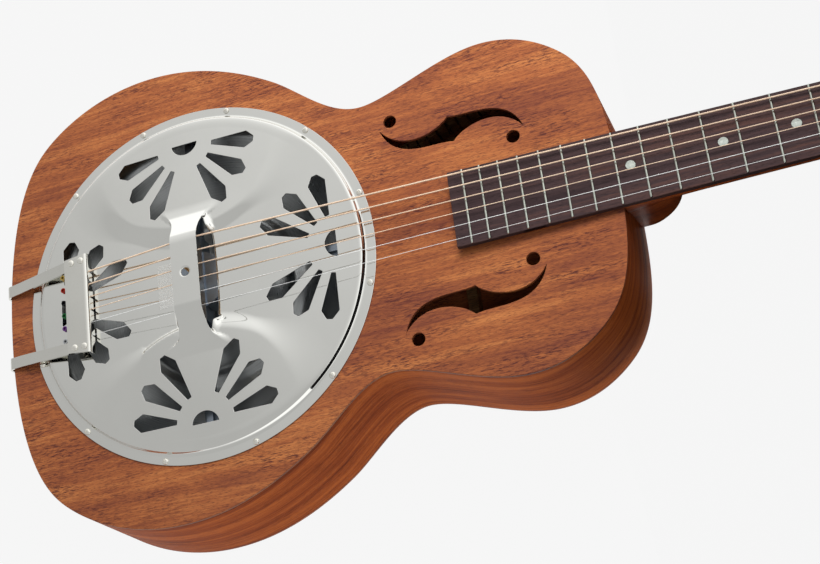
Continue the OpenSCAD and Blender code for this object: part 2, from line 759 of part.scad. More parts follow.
// Tuners ----------------------------------------------------------------------------------------

LUG_Y = WORM_L / 2 + 0.4;
LUG_T = 1.4;

module tuner_plates() {
    color("silver") for (i = [0:5]) at_post(i) difference() {
        union() {
            translate([-9, -8, BACK_H - 1]) cube([25, 16, 1]);
            for (y = [-LUG_Y - LUG_T, LUG_Y]) translate([CENTRE_D - 3.4, y, GEAR_H - 3.2])
                cube([6.8, LUG_T, BACK_H - GEAR_H + 2.6]);
        }
        translate([0, 0, BACK_H - 2]) cylinder(4, r = post_r + fit);
        translate([CENTRE_D, -10, GEAR_H]) rotate([-90, 0, 0])
            cylinder(20, r = SHAFT_R + fit, $fn = 32);
        for (p = PLATE_HOLES) translate([p[0], p[1], BACK_H - 2]) cylinder(4, r = 1.1, $fn = 24);
    }
}

PLATE_HOLES = [[-7, -6], [14.2, 6]];

module tuner_screws() {
    color("silver") for (i = [0:5]) at_post(i) for (p = PLATE_HOLES)
        translate([p[0], p[1], BACK_H - 1]) rotate([180, 0, 0]) rotate_extrude($fn = 24)
            polygon([[0, -6], [0.8, -5], [0.8, -1], [1.1, -1], [1.1, 0], [1.9, 0], [1.7, 0.5],
                [0, 0.9]]);
}

module tuner_bushings() {
    color("silver") for (i = [0:5]) at_post(i) rotate_extrude($fn = 48)
        polygon([[post_r + fit, BACK_H + 2], [4.4, BACK_H + 2], [4.4, 0], [5.6, 0], [5.6, 0.8],
            [4.8, 1.6], [post_r + fit, 1.6]]);
}

module tuner_post(i) {
    color("silver") at_post(i) difference() {
        union() {
            translate([0, 0, GEAR_H - GEAR_T / 2]) cylinder(13.6 - GEAR_H, r = post_r, $fn = 48);
            translate([0, 0, 13.6 - GEAR_T / 2]) cylinder(1.4, r1 = post_r, r2 = post_r - 0.8);
            translate([0, 0, GEAR_H - GEAR_T / 2 - 1.2]) cylinder(1.2, r = 2.6, $fn = 32);
        }
        translate([-5, 0, COIL_H + 3]) rotate([0, 90, 0]) cylinder(10, r = 0.9, $fn = 24);
        translate([-0.4, -4, GEAR_H - GEAR_T / 2 - 1.6]) cube([0.8, 8, 1]);
    }
}

module tuner_gear(i) {
    teeth = [for (k = [0:gear_teeth * 8 - 1]) let (a = 45 * k / gear_teeth)
        (gear_r + WAVE * cos(gear_teeth * a)) * head(a)];
    color("goldenrod") at_post(i) translate([0, 0, GEAR_H - GEAR_T / 2]) difference() {
        linear_extrude(GEAR_T) polygon(teeth);
        translate([0, 0, -1]) cylinder(GEAR_T + 2, r = post_r, $fn = 48);
    }
}

module tuner_worm(i) {
    turns = 360 * WORM_L / PITCH;
    reach = 36.5 - POST_Y;
    color("silver") at_post(i) translate([CENTRE_D, 0, GEAR_H]) rotate([-90, 0, 0]) {
        translate([0, 0, -WORM_L / 2]) linear_extrude(WORM_L, twist = turns, slices = 40,
            $fn = 12) rotate(turns / 2) translate([WAVE, 0]) circle(worm_r, $fn = 12);
        translate([0, 0, -LUG_Y - LUG_T - 0.6]) cylinder(LUG_Y + LUG_T + reach + 3, r = SHAFT_R,
            $fn = 32);
        translate([0, 0, reach]) intersection() {
            rotate_extrude($fn = 48) polygon([[0, 0], [3.4, 0], [4, 1.6], [6.6, 3.4], [8, 7],
                [7.4, 11], [5, 13.4], [0, 14]]);
            translate([-10, -3.8, -1]) cube([20, 7.6, 20]);
        }
    }
}

module tuner_worm_1() {
    tuner_worm(0);
}

module tuner_worm_2() {
    tuner_worm(1);
}

module tuner_worm_3() {
    tuner_worm(2);
}

module tuner_worm_4() {
    tuner_worm(3);
}

module tuner_worm_5() {
    tuner_worm(4);
}

module tuner_worm_6() {
    tuner_worm(5);
}

module tuner_post_1() {
    tuner_post(0);
}

module tuner_post_2() {
    tuner_post(1);
}

module tuner_post_3() {
    tuner_post(2);
}

module tuner_post_4() {
    tuner_post(3);
}

module tuner_post_5() {
    tuner_post(4);
}

module tuner_post_6() {
    tuner_post(5);
}

module tuner_gear_1() {
    tuner_gear(0);
}

module tuner_gear_2() {
    tuner_gear(1);
}

module tuner_gear_3() {
    tuner_gear(2);
}

module tuner_gear_4() {
    tuner_gear(3);
}

module tuner_gear_5() {
    tuner_gear(4);
}

module tuner_gear_6() {
    tuner_gear(5);
}

top();
back();
side_bass();
side_treble();
lining_top();
lining_back();
neck_block();
tail_block();
soundwell();
back_braces();
cone();
spider();
saddle_bass();
saddle_treble();
tension_screw();
coverplate();
coverplate_screws();
tailpiece_frame();
tailpiece_crossbar();
tailpiece_rivets();
ball_ends();
strap_button();
neck();
fingerboard();
frets();
position_dots();
nut();
truss_rod();
truss_rod_nut();
truss_rod_cover();
truss_cover_screws();
headstock_veneer();
string_1();
string_2();
string_3();
string_4();
string_5();
string_6();
tuner_plates();
tuner_bushings();
tuner_screws();
tuner_worm_1();
tuner_worm_2();
tuner_worm_3();
tuner_worm_4();
tuner_worm_5();
tuner_worm_6();
tuner_post_1();
tuner_post_2();
tuner_post_3();
tuner_post_4();
tuner_post_5();
tuner_post_6();
tuner_gear_1();
tuner_gear_2();
tuner_gear_3();
tuner_gear_4();
tuner_gear_5();
tuner_gear_6();
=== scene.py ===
"""Looks of the resonator guitar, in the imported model's frame: +X to the headstock, +Z out of the top.

Shapes are worked out in millimetres and turned into metres by mesh_piece().
"""

import json
import math

import bpy
import bmesh
import numpy as np
from mathutils import Matrix, Vector, geometry


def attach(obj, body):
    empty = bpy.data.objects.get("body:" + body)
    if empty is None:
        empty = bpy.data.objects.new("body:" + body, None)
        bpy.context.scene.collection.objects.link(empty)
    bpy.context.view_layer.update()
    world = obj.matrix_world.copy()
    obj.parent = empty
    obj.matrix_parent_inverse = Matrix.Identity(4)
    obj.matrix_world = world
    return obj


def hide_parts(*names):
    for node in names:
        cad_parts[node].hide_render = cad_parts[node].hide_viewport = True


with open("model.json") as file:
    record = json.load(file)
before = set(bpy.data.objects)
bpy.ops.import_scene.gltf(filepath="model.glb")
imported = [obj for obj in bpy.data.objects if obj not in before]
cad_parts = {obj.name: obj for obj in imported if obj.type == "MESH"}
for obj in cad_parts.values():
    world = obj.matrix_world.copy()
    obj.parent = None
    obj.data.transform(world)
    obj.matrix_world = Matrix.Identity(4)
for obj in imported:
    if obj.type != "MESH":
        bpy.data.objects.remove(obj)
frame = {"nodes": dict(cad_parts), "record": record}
bpy.context.view_layer.update()

MM = 0.001
ROOT = "guitar"
NODE_BODY = {n: b for b, members in frame["record"]["behaviour"]["bodies"].items() for n in members}

# Driving dimensions, in millimetres ----------------------------------

TOP_Z = 88.0
PLATE_T = 3.0
SIDE_T = 2.5
TAIL_X = -161.0
JOIN_X = 318.3
SCALE = 635.0
NUT_U = SCALE + 1 - JOIN_X
NUT_T = 5.5
SHAFT_END = NUT_U + NUT_T
BOARD_END = -116.3
BOARD_T = 5.0
BOARD_RISE = 5.5
NECK_ANGLE = math.radians(1.31)
HEAD_ANGLE = math.radians(14)
HEAD_DROP = 3.4
HEAD_LEN = 172.0
VENEER_T = 1.8
CORE_T = 14.0
NUT_HALF = 23.2
JOIN_HALF = 27.6
WELL_R = 134.5
COVER_R = 141.7
SCREW_CIRCLE = 138.9
FAN_R = 113.0
VALLEY_Z = 4.4
CROWN_Z = 8.0
REST_Z = 21.6
REST_HALF = 11.0
CROSS_Z = TOP_Z + 14
STRING_R = (0.67, 0.53, 0.41, 0.31, 0.21, 0.17)
POST_S = (45, 85, 125, 125, 85, 45)
POST_SIDE = (1, 1, 1, -1, -1, -1)
POST_Y = 23.0
WORM_OUT = 8.9
KEY_REACH = 36.5
GEAR_H = -VENEER_T - CORE_T - 4.8
STRING_SHARE = tuple(1 - 0.4 * i for i in range(6))
TAIL_HALF = 26.4
BRIDGE_HALF = 28.0
SLOT_HALF = 18.3
BALL_X = -108.3
BALL_Z = TOP_Z + 9.2
KNOTS = ((TAIL_X, 0, 90, 0, 54), (-125.5, 146.2, 45, 40.5, 23.3), (-29, 183.2, 0, 45.7, 41.6),
         (76.2, 147.4, -34.4, 34.8, 23.5), (142.2, 105, 0, 24.1, 22.8), (236.4, 128.5, 0, 30.9, 26.9),
         (293.3, 104, -44.1, 15.9, 29.7), (JOIN_X, 0, -90, 50.7, 0))


# Curves --------------------------------------------------------------

def bez(a, b, c, d, t):
    a, b, c, d = (np.array(p, float) for p in (a, b, c, d))
    return (1 - t) ** 3 * a + 3 * (1 - t) ** 2 * t * b + 3 * (1 - t) * t * t * c + t ** 3 * d


def arc_points(a, b, c, d, steps, last=True):
    return [bez(a, b, c, d, k / steps) for k in range(steps + last)]


def unit(vectors):
    """Vectors, one to a row, brought to length one."""
    return vectors / np.linalg.norm(vectors, axis=-1, keepdims=True)


def heading(deg):
    return np.array((math.cos(math.radians(deg)), math.sin(math.radians(deg))))


def half_outline(steps=26):
    """Points of the bass half of the body outline, from the tail to the neck."""
    points = []
    for a, b in zip(KNOTS, KNOTS[1:]):
        p, q = np.array(a[:2], float), np.array(b[:2], float)
        points += arc_points(p, p + a[4] * heading(a[2]), q - b[3] * heading(b[2]), q, steps, False)
    return np.array(points + [np.array(KNOTS[-1][:2], float)])


def full_outline(steps=26):
    half = half_outline(steps)
    return np.vstack([half, half[-2:0:-1] * (1, -1)])


def path_normals(points):
    """Unit normals to the left of an open or closed run of points."""
    t = unit(np.gradient(points, axis=0))
    return np.column_stack([-t[:, 1], t[:, 0]])


def resample(loop, step):
    """A closed loop with its long edges cut into pieces no longer than step."""
    out = []
    for p, q in zip(loop, np.roll(loop, -1, axis=0)):
        n = max(1, int(math.ceil(np.linalg.norm(q - p) / step)))
        out += [p + (q - p) * k / n for k in range(n)]
    return np.array(out)


def circle(cx, cy, r, n):
    a = np.arange(n) * 2 * math.pi / n
    return np.column_stack([cx + r * np.cos(a), cy + r * np.sin(a)])


def rotated(loop, deg):
    c, s = heading(deg)
    return loop @ np.array(((c, s), (-s, c)))


def eased_corner(a, p, b, r, steps):
    """A small curve in place of the corner p between a and b."""
    start, end = (p + unit(q - p) * min(r, 0.45 * np.linalg.norm(q - p)) for q in (a, b))
    return [(1 - t) ** 2 * start + 2 * (1 - t) * t * p + t * t * end for t in np.linspace(0, 1, steps)]


def round_corners(loop, r, steps=4):
    """A closed loop with each corner cut by a small curve."""
    corners = zip(np.roll(loop, 1, axis=0), loop, np.roll(loop, -1, axis=0))
    return np.array([q for a, p, b in corners for q in eased_corner(a, p, b, r, steps)])


def eased_run(points, r, steps=4):
    """An open run of points with each inner corner cut by a small curve."""
    p = [np.array(q, float) for q in points]
    inner = [q for a, b, c in zip(p, p[1:], p[2:]) for q in eased_corner(a, b, c, r, steps)]
    return [p[0]] + inner + [p[-1]]


def signed_area(loop):
    x, y = loop[:, 0], loop[:, 1]
    return 0.5 * np.sum(x * np.roll(y, -1) - np.roll(x, -1) * y)


def grown(loop, d):
    """A closed loop moved sideways by d: outward for d over 0."""
    if signed_area(loop) < 0:
        loop = loop[::-1]
    before, after = unit(loop - np.roll(loop, 1, axis=0)), unit(np.roll(loop, -1, axis=0) - loop)
    na, nb = (np.column_stack([v[:, 1], -v[:, 0]]) for v in (before, after))
    n = unit(na + nb)
    reach = d / np.maximum(0.5, np.sum(n * nb, axis=1))
    return loop + n * reach[:, None]


def inside(points, loop):
    """Even-odd test of many points against one closed loop."""
    x, y = points[:, 0], points[:, 1]
    odd = np.zeros(len(points), bool)
    for (x0, y0), (x1, y1) in zip(loop, np.roll(loop, -1, axis=0)):
        if y0 == y1:
            continue
        cross = ((y0 > y) != (y1 > y)) & (x < (x1 - x0) * (y - y0) / (y1 - y0) + x0)
        odd ^= cross
    return odd


def near(points, loop, reach):
    """Which points lie within reach of a closed loop's points."""
    hit = np.zeros(len(points), bool)
    for p in loop:
        hit |= np.abs(points - p).max(axis=1) < reach
    return hit


# Meshes --------------------------------------------------------------

def add_object(name, data):
    o = bpy.data.objects.new(name, data)
    bpy.context.scene.collection.objects.link(o)
    return o


def mesh_piece(name, verts, faces, material, body=ROOT, replaces=None, normals=None, smooth=True,
               matrix=None, sharp=None):
    """A mesh in millimetres as a piece that rides on a body. Edges over sharp degrees stay crisp."""
    co = np.array(verts, float)
    if matrix is not None:
        m = np.array(matrix)
        co = co @ m[:3, :3].T + m[:3, 3]
        if normals is not None:
            normals = np.array(normals) @ m[:3, :3].T
    mesh = bpy.data.meshes.new(name)
    mesh.from_pydata((co * MM).tolist(), [], faces)
    mesh.materials.append(material)
    mesh.polygons.foreach_set("use_smooth", [smooth] * len(mesh.polygons))
    mesh.update()
    if sharp:
        mesh.set_sharp_from_angle(angle=math.radians(sharp))
    if normals is not None:
        mesh.normals_split_custom_set([tuple(v) for v in normals])
    o = add_object(name, mesh)
    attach(o, body)
    if replaces:
        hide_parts(replaces)
    return o


def staggered(lo, hi, pitch):
    """Points of a triangular grid between two corners."""
    gx, gy = np.meshgrid(np.arange(lo[0], hi[0], pitch), np.arange(lo[1], hi[1], pitch * 0.87))
    gx[1::2] += pitch / 2
    return np.column_stack([gx.ravel(), gy.ravel()])


def sheet_parts(outer, holes, height, thickness, edge, grid, extra=(), fine=None, free=None):
    """Corners, faces and corner normals of a sheet with holes, its edges eased by edge.

    height(x, y) is the upper face. fine is (half x, half y, pitch) of a denser patch at the centre.
    extra holds runs of points of the sheet's own, and free tells where the plain grid keeps clear of them.
    """
    loops = [outer] + list(holes)
    eased = [grown(outer, -edge)] + [grown(h, edge) for h in holes]
    points, edges = [], []
    for loop in loops + eased:
        if signed_area(loop) < 0:
            loop = loop[::-1]
        base = len(points)
        points += list(loop)
        edges += [(base + k, base + (k + 1) % len(loop)) for k in range(len(loop))]
    rim_count = sum(len(l) for l in loops)
    lo, hi = outer.min(axis=0), outer.max(axis=0)
    inner = staggered(lo, hi, grid)
    if fine:
        outside = (np.abs(inner[:, 0]) > fine[0]) | (np.abs(inner[:, 1]) > fine[1])
        inner = np.vstack([inner[outside], staggered((-fine[0], -fine[1]), fine[:2], fine[2])])
    if len(extra):
        inner = np.vstack([inner[free(inner[:, 0], inner[:, 1])]] + list(extra))
    keep = inside(inner, loops[0])
    for h in holes:
        box = (inner[:, 0] > h[:, 0].min() - grid) & (inner[:, 0] < h[:, 0].max() + grid)
        box &= (inner[:, 1] > h[:, 1].min() - grid) & (inner[:, 1] < h[:, 1].max() + grid)
        idx = np.where(box & keep)[0]
        keep[idx[inside(inner[idx], h)]] = False
    inner = inner[keep]
    reach = edge + 0.35 * (fine[2] if fine else grid)
    bad = np.zeros(len(inner), bool)
    for loop in loops:
        bad |= near(inner, loop, reach)
    points += list(inner[~bad])
    co, _, faces, origin, _, _ = geometry.delaunay_2d_cdt([Vector(p) for p in points], edges, [], 0, 1e-5)
    co = np.array([(p[0], p[1]) for p in co])
    faces = np.array([f for f in faces if len(f) == 3])
    middle = co[faces].mean(axis=1)
    keep = inside(middle, loops[0])
    for h in holes:
        keep &= ~inside(middle, h)
    faces = faces[keep]
    on_rim = np.array([any(k < rim_count for k in o) for o in origin])
    n_top = surface_normals(height, co)
    z = height(co[:, 0], co[:, 1])
    out = rim_directions(co, faces, on_rim)
    top = np.column_stack([co, z]) - np.where(on_rim, edge, 0)[:, None] * n_top
    low = np.column_stack([co, z]) - (thickness - np.where(on_rim, edge, 0))[:, None] * n_top
    count = len(co)
    slope = math.sqrt(0.5)
    top_n = np.where(on_rim[:, None], slope * n_top + slope * out, n_top)
    low_n = np.where(on_rim[:, None], -slope * n_top + slope * out, -n_top)
    verts = np.vstack([top, low])
    all_faces = [tuple(f) for f in faces] + [tuple(f[::-1] + count) for f in faces]
    corner_normals = [top_n[v] for f in faces for v in f] + [low_n[v] for f in faces for v in f[::-1]]
    for a, b in rim_edges(faces):
        all_faces.append((b, a, a + count, b + count))
        corner_normals += [out[b], out[a], out[a], out[b]]
    return verts, all_faces, corner_normals


def sheet_piece(name, parts, material, replaces=None, matrix=None):
    mesh_piece(name, parts[0], parts[1], material, replaces=replaces, normals=parts[2], matrix=matrix)


def surface_normals(height, co, h=0.05):
    dx = (height(co[:, 0] + h, co[:, 1]) - height(co[:, 0] - h, co[:, 1])) / (2 * h)
    dy = (height(co[:, 0], co[:, 1] + h) - height(co[:, 0], co[:, 1] - h)) / (2 * h)
    return unit(np.column_stack([-dx, -dy, np.ones(len(co))]))


def rim_edges(faces):
    """Edges with a face on one side only, each in its face's direction."""
    pairs = {}
    for f in faces:
        for a, b in ((f[0], f[1]), (f[1], f[2]), (f[2], f[0])):
            if (b, a) in pairs:
                del pairs[(b, a)]
            else:
                pairs[(a, b)] = 1
    return list(pairs)


def rim_directions(co, faces, on_rim):
    out = np.zeros((len(co), 3))
    for a, b in rim_edges(faces):
        d = co[b] - co[a]
        n = np.array((d[1], -d[0], 0)) / max(np.linalg.norm(d), 1e-9)
        out[a] += n
        out[b] += n
    size = np.linalg.norm(out, axis=1)
    return out / np.maximum(size, 1e-9)[:, None]


def flat_height(z):
    return lambda x, y: np.full(np.shape(x), float(z))


def lathe_parts(profile, steps=64):
    """Corners and quads of a profile of (radius, height) turned about Z. A radius of 0 closes it."""
    a = np.arange(steps) * 2 * math.pi / steps
    verts, rows = [], []
    for r, z in profile:
        if r <= 1e-6:
            rows.append([len(verts)] * steps)
            verts.append((0, 0, z))
        else:
            rows.append(list(range(len(verts), len(verts) + steps)))
            verts += [(r * math.cos(t), r * math.sin(t), z) for t in a]
    faces = []
    for lower, upper in zip(rows, rows[1:]):
        for k in range(steps):
            q = (lower[k], lower[(k + 1) % steps], upper[(k + 1) % steps], upper[k])
            q = tuple(dict.fromkeys(q))
            if len(q) > 2:
                faces.append(q)
    return verts, faces


def loft_parts(rings):
    """Closed skin through rings with the same number of points."""
    n = len(rings[0])
    verts = [p for ring in rings for p in ring]
    faces = []
    for i in range(len(rings) - 1):
        for k in range(n):
            a, b = i * n + k, i * n + (k + 1) % n
            faces.append((a, b, b + n, a + n))
    faces.append(tuple(range(n - 1, -1, -1)))
    faces.append(tuple(range((len(rings) - 1) * n, len(rings) * n)))
    return verts, faces


def joined(parts):
    verts, faces = [], []
    for v, f in parts:
        base = len(verts)
        verts += v
        faces += [tuple(k + base for k in q) for q in f]
    return verts, faces


def moved(part, matrix):
    verts, faces = part
    return [tuple(matrix @ Vector(v)) for v in verts], faces


def eased_copy(node, material, width=0.25, segments=2, angle=35):
    """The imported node's own shape as a welded mesh with eased edges and smooth shading."""
    mesh = frame["nodes"][node].data.copy()
    mesh.materials.clear()
    mesh.materials.append(material)
    if "custom_normal" in mesh.attributes:
        mesh.attributes.remove(mesh.attributes["custom_normal"])
    bm = bmesh.new()
    bm.from_mesh(mesh)
    bmesh.ops.remove_doubles(bm, verts=bm.verts, dist=2e-6)
    bmesh.ops.dissolve_limit(bm, angle_limit=math.radians(0.5), verts=bm.verts, edges=bm.edges)
    for f in bm.faces:
        f.smooth = True
        f.material_index = 0
    for e in bm.edges:
        e.smooth = True
    bm.to_mesh(mesh)
    bm.free()
    o = add_object(node + "_eased", mesh)
    if width:
        bevel = o.modifiers.new("eased edges", "BEVEL")
        bevel.width = width * MM
        bevel.segments = segments
        bevel.limit_method = "ANGLE"
        bevel.angle_limit = math.radians(angle)
        bevel.harden_normals = True
        bevel.use_clamp_overlap = True
    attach(o, NODE_BODY[node])
    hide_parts(node)


def tilt(angle):
    return Matrix.Rotation(angle, 4, "Y")


ON_NECK = Matrix.Translation((JOIN_X, 0, TOP_Z + BOARD_RISE)) @ tilt(NECK_ANGLE)
ON_HEAD = ON_NECK @ Matrix.Translation((SHAFT_END, 0, -HEAD_DROP)) @ tilt(HEAD_ANGLE)


def at_post(i):
    return ON_HEAD @ Matrix.Translation((POST_S[i], POST_SIDE[i] * POST_Y, 0))


# Materials -----------------------------------------------------------

class Shade:
    """A material's node tree, with short calls for the nodes used here."""

    def __init__(self, name):
        self.mat = bpy.data.materials.new(name)
        self.mat.use_nodes = True
        self.tree = self.mat.node_tree
        self.bsdf = self.tree.nodes["Principled BSDF"]

    def node(self, kind, **props):
        n = self.tree.nodes.new(kind)
        for key, value in props.items():
            setattr(n, key, value)
        return n

    def link(self, a, b):
        self.tree.links.new(a, b)

    def put(self, socket, value):
        """Link a socket, or set a number or a colour of three values."""
        if isinstance(value, bpy.types.NodeSocket):
            self.link(value, socket)
        else:
            socket.default_value = (*value, 1) if isinstance(value, tuple) else value

    def place(self, x, y=None, z=None, attribute=None):
        """Object position, or a stored vector, in millimetres and times x, y and z."""
        scale = (x, x if y is None else y, x if z is None else z)
        if attribute:
            source = self.node("ShaderNodeAttribute", attribute_name=attribute).outputs["Vector"]
            factor = scale
        else:
            source = self.node("ShaderNodeTexCoord").outputs["Object"]
            factor = [s * 1000 for s in scale]
        m = self.node("ShaderNodeMapping")
        m.inputs["Scale"].default_value = factor
        self.link(source, m.inputs["Vector"])
        return m.outputs["Vector"]

    def axes(self):
        """The object position's X, Y and Z in millimetres."""
        sep = self.node("ShaderNodeSeparateXYZ")
        self.link(self.place(1), sep.inputs[0])
        return sep.outputs

    def noise(self, vector, detail=3.0, rough=0.55, distortion=0.0):
        n = self.node("ShaderNodeTexNoise")
        for key, v in (("Scale", 1), ("Detail", detail), ("Roughness", rough), ("Distortion", distortion)):
            n.inputs[key].default_value = v
        self.link(vector, n.inputs["Vector"])
        return n.outputs["Fac"]

    def ramp(self, value, stops):
        r = self.node("ShaderNodeValToRGB")
        while len(r.color_ramp.elements) < len(stops):
            r.color_ramp.elements.new(0.5)
        for e, (at, colour) in zip(r.color_ramp.elements, stops):
            e.position = at
            e.color = (*colour, 1)
        self.link(value, r.inputs["Fac"])
        return r.outputs["Color"]

    def math(self, op, a, b=0.0):
        n = self.node("ShaderNodeMath", operation=op)
        self.put(n.inputs[0], a)
        self.put(n.inputs[1], b)
        return n.outputs[0]

    def add(self, a, b):
        return self.math("ADD", a, b)

    def times(self, a, b):
        return self.math("MULTIPLY", a, b)

    def spread(self, value, lo, hi, to_lo=0.0, to_hi=1.0):
        n = self.node("ShaderNodeMapRange")
        self.link(value, n.inputs["Value"])
        for key, v in zip(("From Min", "From Max", "To Min", "To Max"), (lo, hi, to_lo, to_hi)):
            n.inputs[key].default_value = v
        return n.outputs["Result"]

    def mix(self, factor, a, b):
        n = self.node("ShaderNodeMix", data_type="RGBA")
        self.put(n.inputs["Factor"], factor)
        self.put(n.inputs["A"], a)
        self.put(n.inputs["B"], b)
        return n.outputs["Result"]

    def bump(self, height, distance, strength=1.0):
        """A bump whose full height is distance, in millimetres."""
        n = self.node("ShaderNodeBump")
        n.inputs["Strength"].default_value = strength
        n.inputs["Distance"].default_value = distance * MM
        self.link(height, n.inputs["Height"])
        self.link(n.outputs["Normal"], self.bsdf.inputs["Normal"])

    def surface(self, colour, rough, metal=0.0, **sockets):
        self.put(self.bsdf.inputs["Base Color"], colour)
        self.put(self.bsdf.inputs["Roughness"], rough)
        self.bsdf.inputs["Metallic"].default_value = metal
        for key, value in sockets.items():
            self.bsdf.inputs[key.replace("_", " ")].default_value = value
        return self.mat


def srgb(*channels):
    """A display colour of 0 to 255 as the linear values that the nodes take."""
    return tuple(c / 12.92 if c <= 0.04045 else ((c + 0.055) / 1.055) ** 2.4
                 for c in (v / 255 for v in channels))


def shaded(colour, share):
    return tuple(c * share for c in colour)


def wood(name, light, middle, dark, pore, band=0.085, attribute=None, rough=0.42, seed=0.0,
         band_gain=1.0, shine=0.1, flecks=0.9):
    """Open-pored wood: ribbons, fine streaks and short dark pores along X of the object or of attribute."""
    s = Shade(name)

    def vector_math(operation, vector, value):
        m = s.node("ShaderNodeVectorMath", operation=operation)
        s.link(vector, m.inputs[0])
        m.inputs[1].default_value = value
        return m.outputs[0]

    base = vector_math("ADD", s.place(1, attribute=attribute), (seed, seed * 0.7, seed * 0.3))

    def stretched(along, across):
        return vector_math("MULTIPLY", base, (along, across, across))

    ribbon = s.noise(stretched(0.004, band), detail=2.5, rough=0.6, distortion=0.3)
    drift = s.noise(stretched(0.008, 0.02), detail=2)
    streak = s.noise(stretched(0.03, 0.5), detail=5, rough=0.7, distortion=0.2)
    dash = s.noise(stretched(0.16, 1.15), detail=3, rough=0.65, distortion=0.15)
    pores = s.noise(stretched(0.26, 2.6), detail=2, rough=0.5)
    patch = s.noise(stretched(0.018, 0.075), detail=3, rough=0.65)
    tone = s.add(s.times(s.spread(ribbon, 0.3, 0.7), 0.32 * band_gain),
                  s.times(s.spread(streak, 0.25, 0.75), 0.42))
    tone = s.add(tone, s.times(s.spread(drift, 0.3, 0.7), 0.26))
    colour = s.ramp(tone, [(0.2, dark), (0.5, middle), (0.8, light)])
    gate = s.spread(patch, 0.4, 0.62, 0.1, 1.0)
    fleck = s.math("MAXIMUM", s.times(s.spread(pores, 0.55, 0.64), 0.75),
                   s.times(s.spread(dash, 0.49, 0.6), gate))
    colour = s.mix(s.times(fleck, flecks), colour, pore)
    s.bump(s.math("SUBTRACT", s.times(streak, 0.35), fleck), 0.05, 0.5)
    return s.surface(colour, s.spread(streak, 0.2, 0.8, rough - 0.05, rough + 0.08), Specular_IOR_Level=shine)


def plated(name, tint, rough=0.07, smudge=0.05):
    """Polished plate with faint smudges and the slightest unevenness."""
    s = Shade(name)
    cloud = s.noise(s.place(0.02), detail=4, rough=0.6)
    fine = s.noise(s.place(0.9), detail=3)
    r = s.add(s.spread(cloud, 0.35, 0.7, rough, rough + smudge), s.spread(fine, 0.4, 0.7, 0.0, 0.02))
    s.bump(s.noise(s.place(0.012), detail=1), 0.05, 0.25)
    return s.surface(s.mix(s.spread(cloud, 0.3, 0.75), tint, shaded(tint, 0.93)), r, 1.0)


def cover_plate_finish(name, tint):
    """The coverplate's plate, with a frosted generic patch beside the palm rest."""
    s = Shade(name)
    cloud = s.noise(s.place(0.014), detail=4, rough=0.6)
    fine = s.noise(s.place(1.1), detail=3)
    axes = s.axes()
    in_x = s.times(s.math("GREATER_THAN", axes["X"], -30.5),
                  s.math("LESS_THAN", axes["X"], -17.0))
    in_y = s.math("LESS_THAN", s.math("ABSOLUTE", axes["Y"]), 17.5)
    low = s.math("LESS_THAN", axes["Z"], TOP_Z + 9.5)
    patch = s.times(s.times(in_x, in_y), low)
    speck = s.node("ShaderNodeTexVoronoi")
    speck.inputs["Scale"].default_value = 1.0
    s.link(s.place(0.95), speck.inputs["Vector"])
    frost = s.times(patch, s.spread(speck.outputs["Distance"], 0.25, 0.5))
    r = s.add(s.spread(cloud, 0.35, 0.7, 0.03, 0.06), s.times(frost, 0.3))
    r = s.add(r, s.spread(fine, 0.4, 0.7, 0.0, 0.015))
    colour = s.mix(s.spread(cloud, 0.3, 0.75), tint, shaded(tint, 0.95))
    colour = s.mix(s.times(frost, 0.4), colour, srgb(240, 240, 238))
    s.bump(frost, 0.12, 0.8)
    return s.surface(colour, r, 1.0)


def spun(name, tint, rough=0.24):
    """Spun sheet: fine rings round the Z axis in tone, gloss and bump."""
    s = Shade(name)
    axes = s.axes()
    sq = s.add(s.times(axes["X"], axes["X"]),
                s.times(axes["Y"], axes["Y"]))
    radius = s.math("SQRT", sq)
    rings = s.node("ShaderNodeTexNoise", noise_dimensions="1D")
    rings.inputs["Detail"].default_value = 3
    rings.inputs["Scale"].default_value = 1.0
    s.link(s.times(radius, 2.2), rings.inputs["W"])
    lines = rings.outputs["Fac"]
    cloud = s.noise(s.place(0.03), detail=3)
    s.bump(lines, 0.05, 0.9)
    return s.surface(s.mix(s.spread(lines, 0.3, 0.7), shaded(tint, 0.72), tint),
                     s.add(s.spread(lines, 0.3, 0.7, rough, rough + 0.12),
                            s.spread(cloud, 0.3, 0.7, 0.0, 0.08)), 1.0)


def metal(name, tint, rough, grain=0.6, bump=0.03, speck=0.9, metallic=1.0):
    """Cast, drawn or machined metal with mottled tone and gloss."""
    s = Shade(name)
    fine = s.noise(s.place(grain), detail=4, rough=0.6)
    cloud = s.noise(s.place(0.05), detail=3)
    s.bump(fine, bump, speck)
    return s.surface(s.mix(s.spread(cloud, 0.3, 0.7), tint, shaded(tint, 0.75)),
                     s.spread(fine, 0.3, 0.7, rough, rough + 0.12), metallic)


def wound_wire(name, tint, dark, pitch):
    """Wire wound round a core: close turns along X, with painted shade in the dark colour between them; the
    same dark colour also gives random wear darkening.
    """
    s = Shade(name)
    axes = s.axes()
    turn = s.math("FRACT", s.times(axes["X"], 1 / pitch))
    crest = s.math("SINE", s.times(turn, math.pi))
    wear = s.noise(s.place(0.05, 0.3, 0.3), detail=3)
    # Painted shade: the grooves between turns take the dark colour.
    colour = s.mix(s.spread(crest, 0.1, 0.7), dark, tint)
    # Random wear darkening, in the same dark colour.
    colour = s.mix(s.spread(wear, 0.45, 0.75, 0.0, 0.35), colour, dark)
    s.bump(crest, pitch * 0.35, 0.7)
    return s.surface(colour, s.spread(wear, 0.3, 0.7, 0.26, 0.4), 0.6)


